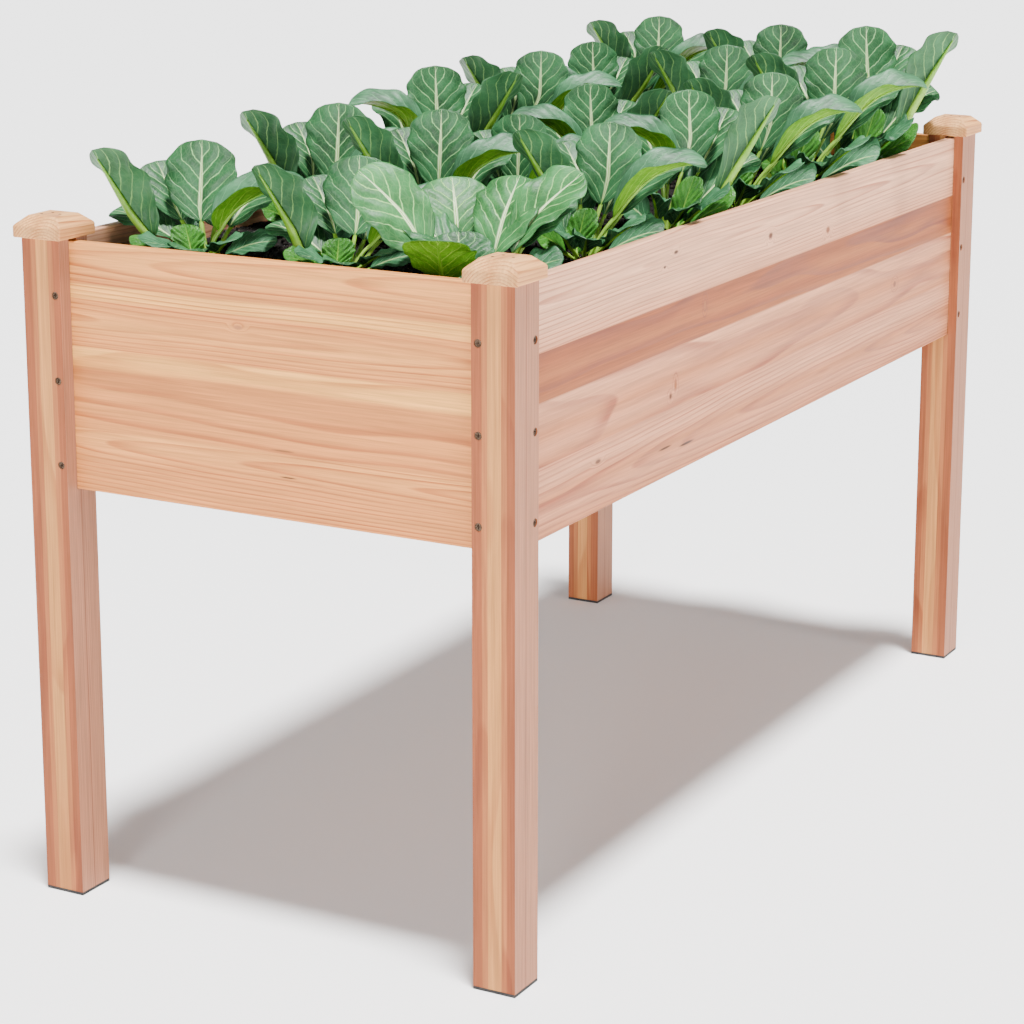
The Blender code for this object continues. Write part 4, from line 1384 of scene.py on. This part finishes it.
@dataclass
class Greens:
    """The leafy greens: rows of brassica plants, each a rosette of stalked leaves."""

    growths: tuple[Growth, ...] = (
        Growth(1, 1, lean=-0.010),
        Growth(2, 1, 0.95, 0.023, 0.019, 0.03),
        Growth(3, 1, 0.90, 0.052, 0.034, 0.05, True),
        Growth(4, 1, 0.88, 0.055, 0.055, 0.06),
        Growth(5, 1, 0.85, 0.055, 0.048, 0.05, True),
        Growth(6, 1, 0.85, 0.076, 0.055, 0.02),
        Growth(1, 0, 0.95, 0.0, 0.005, 0.01),
        Growth(2, 0, 0.92, 0.033),
        Growth(3, 0, 0.85, 0.018, 0.0, -0.01),
        Growth(4, 0, 0.85, 0.033, 0.0, 0.0, True),
        Growth(5, 0, 0.88, 0.055, 0.055, 0.05),
        Growth(6, 0, 0.9, 0.066, 0.06, 0.02),
        Growth(1, -1, 1.0, 0.020),
        Growth(2, -1, 0.9, 0.030, 0.02, 0.02),
        Growth(3, -1, 0.88, 0.047, 0.03, 0.03, True),
        Growth(4, -1, 0.92, 0.043, 0.035, 0.035),
        Growth(5, -1, 0.97, 0.050, 0.04, 0.03),
        Growth(6, -1, 1.0, 0.060, 0.03, 0.0, True),
    )

    def skins(self) -> list[bpy.types.Material]:
        """Makes the seven finishes of a plant, in the order of its material slots."""
        leaves = (
            LeafSkin("waxy_brassica_leaf", "#143d1c", "#2d6339", "#7db070", "#d4e6ac"),
            LeafSkin("pale_brassica_leaf", "#1f4f24", "#3b7842", "#86b86c", "#e2f0c0"),
            LeafSkin("young_brassica_leaf", "#23561a", "#3c7f26", "#4f8434", "#86b44c", 0.7, 0.4, 0.0016),
            # Blue bloom, partly painted shade for the flatter leaves whose tops face the overhead lamp
            LeafSkin("blue_bloom_shaded_brassica_leaf", "#1c4528", "#3b6f49", "#5f9468", "#b4cc90"),
            LeafSkin("waxy_leaf_back", "#22492a", "#396b42", "#6f9c58", "#6f9f22", 0.1),
            # Partly painted light: the bright back stands for light shining through the leaf
            LeafSkin("bright_leaf_back", "#3c740c", "#5a8e16", "#92bc40", "#b4d05a", 0.3, 0.42),
        )
        return [skin.paint() for skin in (*leaves, StalkSkin())]

    def spot(self, growth: Growth) -> tuple[float, float, float]:
        """Finds where a plant stands, from its row's solid and the mix's top."""
        low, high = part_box(f"greens_row_{growth.row}")
        reach = (high.y - low.y) / 2 - (high.x - low.x) / 2
        return ((low.x + high.x) / 2 + growth.shift, growth.line * reach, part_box("potting_mix")[1].z - 0.003)

    def finish(self) -> None:
        """Grows every plant and hides each row's solid."""
        skins = self.skins()
        for growth in self.growths:
            pattern = SPREADING_PLANT if (growth.row, growth.line) == (1, -1) else PATTERN_PLANT
            plant = Patchwork()
            placed = replace(growth, origin=self.spot(growth))
            for number, leaf in enumerate(pattern):
                leaf.grow(plant, placed, number)
            side = {-1: "front", 0: "middle", 1: "back"}[growth.line]
            thing = plant.build(f"brassica_{growth.row}_{side}", skins)
            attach(thing, "root")
            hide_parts(f"greens_row_{growth.row}")
            LOG.info("%s grown, %d faces", thing.name, len(thing.data.polygons))


# ---------------------------------------------------------------- studio


@dataclass
class Studio:
    """A plain pale floor, soft light from the front left, and the camera."""

    camera_at: tuple[float, float, float] = (-2.861, -1.509, 1.190)
    pitch: float = 13.11
    heading: float = 28.77
    lens: float = 97.23
    shift_y: float = -0.0996
    floor_half: float = 40.0
    floor_tint: str = "#f6f6f6"
    surround: float = 0.22
    horizon_glow: float = 2.9
    horizon: tuple[float, float] = (0.10, 0.34)
    overhead: float = 10.5
    softness: float = 9.0
    overhead_from: tuple[float, float, float] = (-0.55, -0.75, 6.0)
    lamps: tuple[tuple[str, tuple[float, float, float], float, float], ...] = (
        ("key", (-7.4, -1.5, 1.2), 2.2, 520.0),
        ("fill", (-0.5, -7.4, 1.2), 2.2, 360.0),
    )

    def floor(self) -> None:
        """Lays the floor, a hair under the feet."""
        half, z = self.floor_half, -0.0002
        points = np.array([(-half, -half, z), (half, -half, z), (half, half, z), (-half, half, z)])
        sheet = Patchwork()
        sheet.add(points, np.array([[0, 1, 2, 3]]), 0, points[:, :2])
        material, shader = new_material("pale_studio_floor")
        shader.inputs["Base Color"].default_value = linear(self.floor_tint)
        shader.inputs["Roughness"].default_value = 0.9
        sheet.build("studio_floor", [material])

    def lights(self) -> None:
        """Sets a surround that is bright at the horizon and dim above, an overhead lamp and two low ones."""
        world = bpy.data.worlds.new("studio_surround")
        bpy.context.scene.world = world
        world.use_nodes = True
        surround = world.node_tree.nodes["Background"]
        surround.inputs["Color"].default_value = (1.0, 1.0, 1.0, 1.0)
        tree = world.node_tree
        way = add_node(tree, "SeparateXYZ", {0: add_node(tree, "TexCoord").outputs["Object"]})
        low, high = self.horizon
        height = {0: way.outputs[2], "From Min": low, "From Max": high}
        climb = {**height, "To Min": self.horizon_glow, "To Max": self.surround}
        glow = add_node(tree, "MapRange", climb, interpolation_type="SMOOTHSTEP")
        tree.links.new(glow.outputs[0], surround.inputs["Strength"])
        sun = bpy.data.lights.new("overhead", "SUN")
        sun.energy, sun.angle = self.overhead, np.radians(self.softness)
        self.hang("overhead", sun, self.overhead_from)
        for name, place, size, power in self.lamps:
            data = bpy.data.lights.new(name, "AREA")
            data.shape, data.size, data.energy = "DISK", size, power
            self.hang(name, data, place)

    def hang(self, name: str, data: bpy.types.Light, place: tuple[float, float, float]) -> None:
        """Hangs a lamp at a place, turned to the planter's middle."""
        lamp = bpy.data.objects.new(name, data)
        lamp.location = place
        lamp.rotation_euler = (Vector((0.0, 0.0, 0.4)) - Vector(place)).to_track_quat("-Z", "Y").to_euler()
        lamp.visible_camera = False
        bpy.context.collection.objects.link(lamp)

    def camera(self) -> None:
        """Sets the camera at its place, tilted down by pitch and turned by heading from +X to +Y."""
        data = bpy.data.cameras.new("camera")
        data.lens, data.sensor_width, data.shift_y = self.lens, 36.0, self.shift_y
        data.clip_start, data.clip_end = 0.05, 60.0
        eye = bpy.data.objects.new("camera", data)
        eye.location = self.camera_at
        eye.rotation_euler = (np.radians(90 - self.pitch), 0.0, np.radians(self.heading - 90))
        bpy.context.collection.objects.link(eye)
        bpy.context.scene.camera = eye

    def finish(self) -> None:
        """Sets up the camera, the floor and the lights."""
        self.camera()
        self.floor()
        self.lights()


def main() -> None:
    """Builds the looks in order."""
    logging.basicConfig(level=logging.INFO, format="%(name)s: %(message)s")
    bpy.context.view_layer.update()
    for assembly in (Studio(), Timber(), Hardware(), Bed(), Greens()):
        assembly.finish()
        LOG.info("%s finished", type(assembly).__name__)


if __name__ == "__main__":
    main()
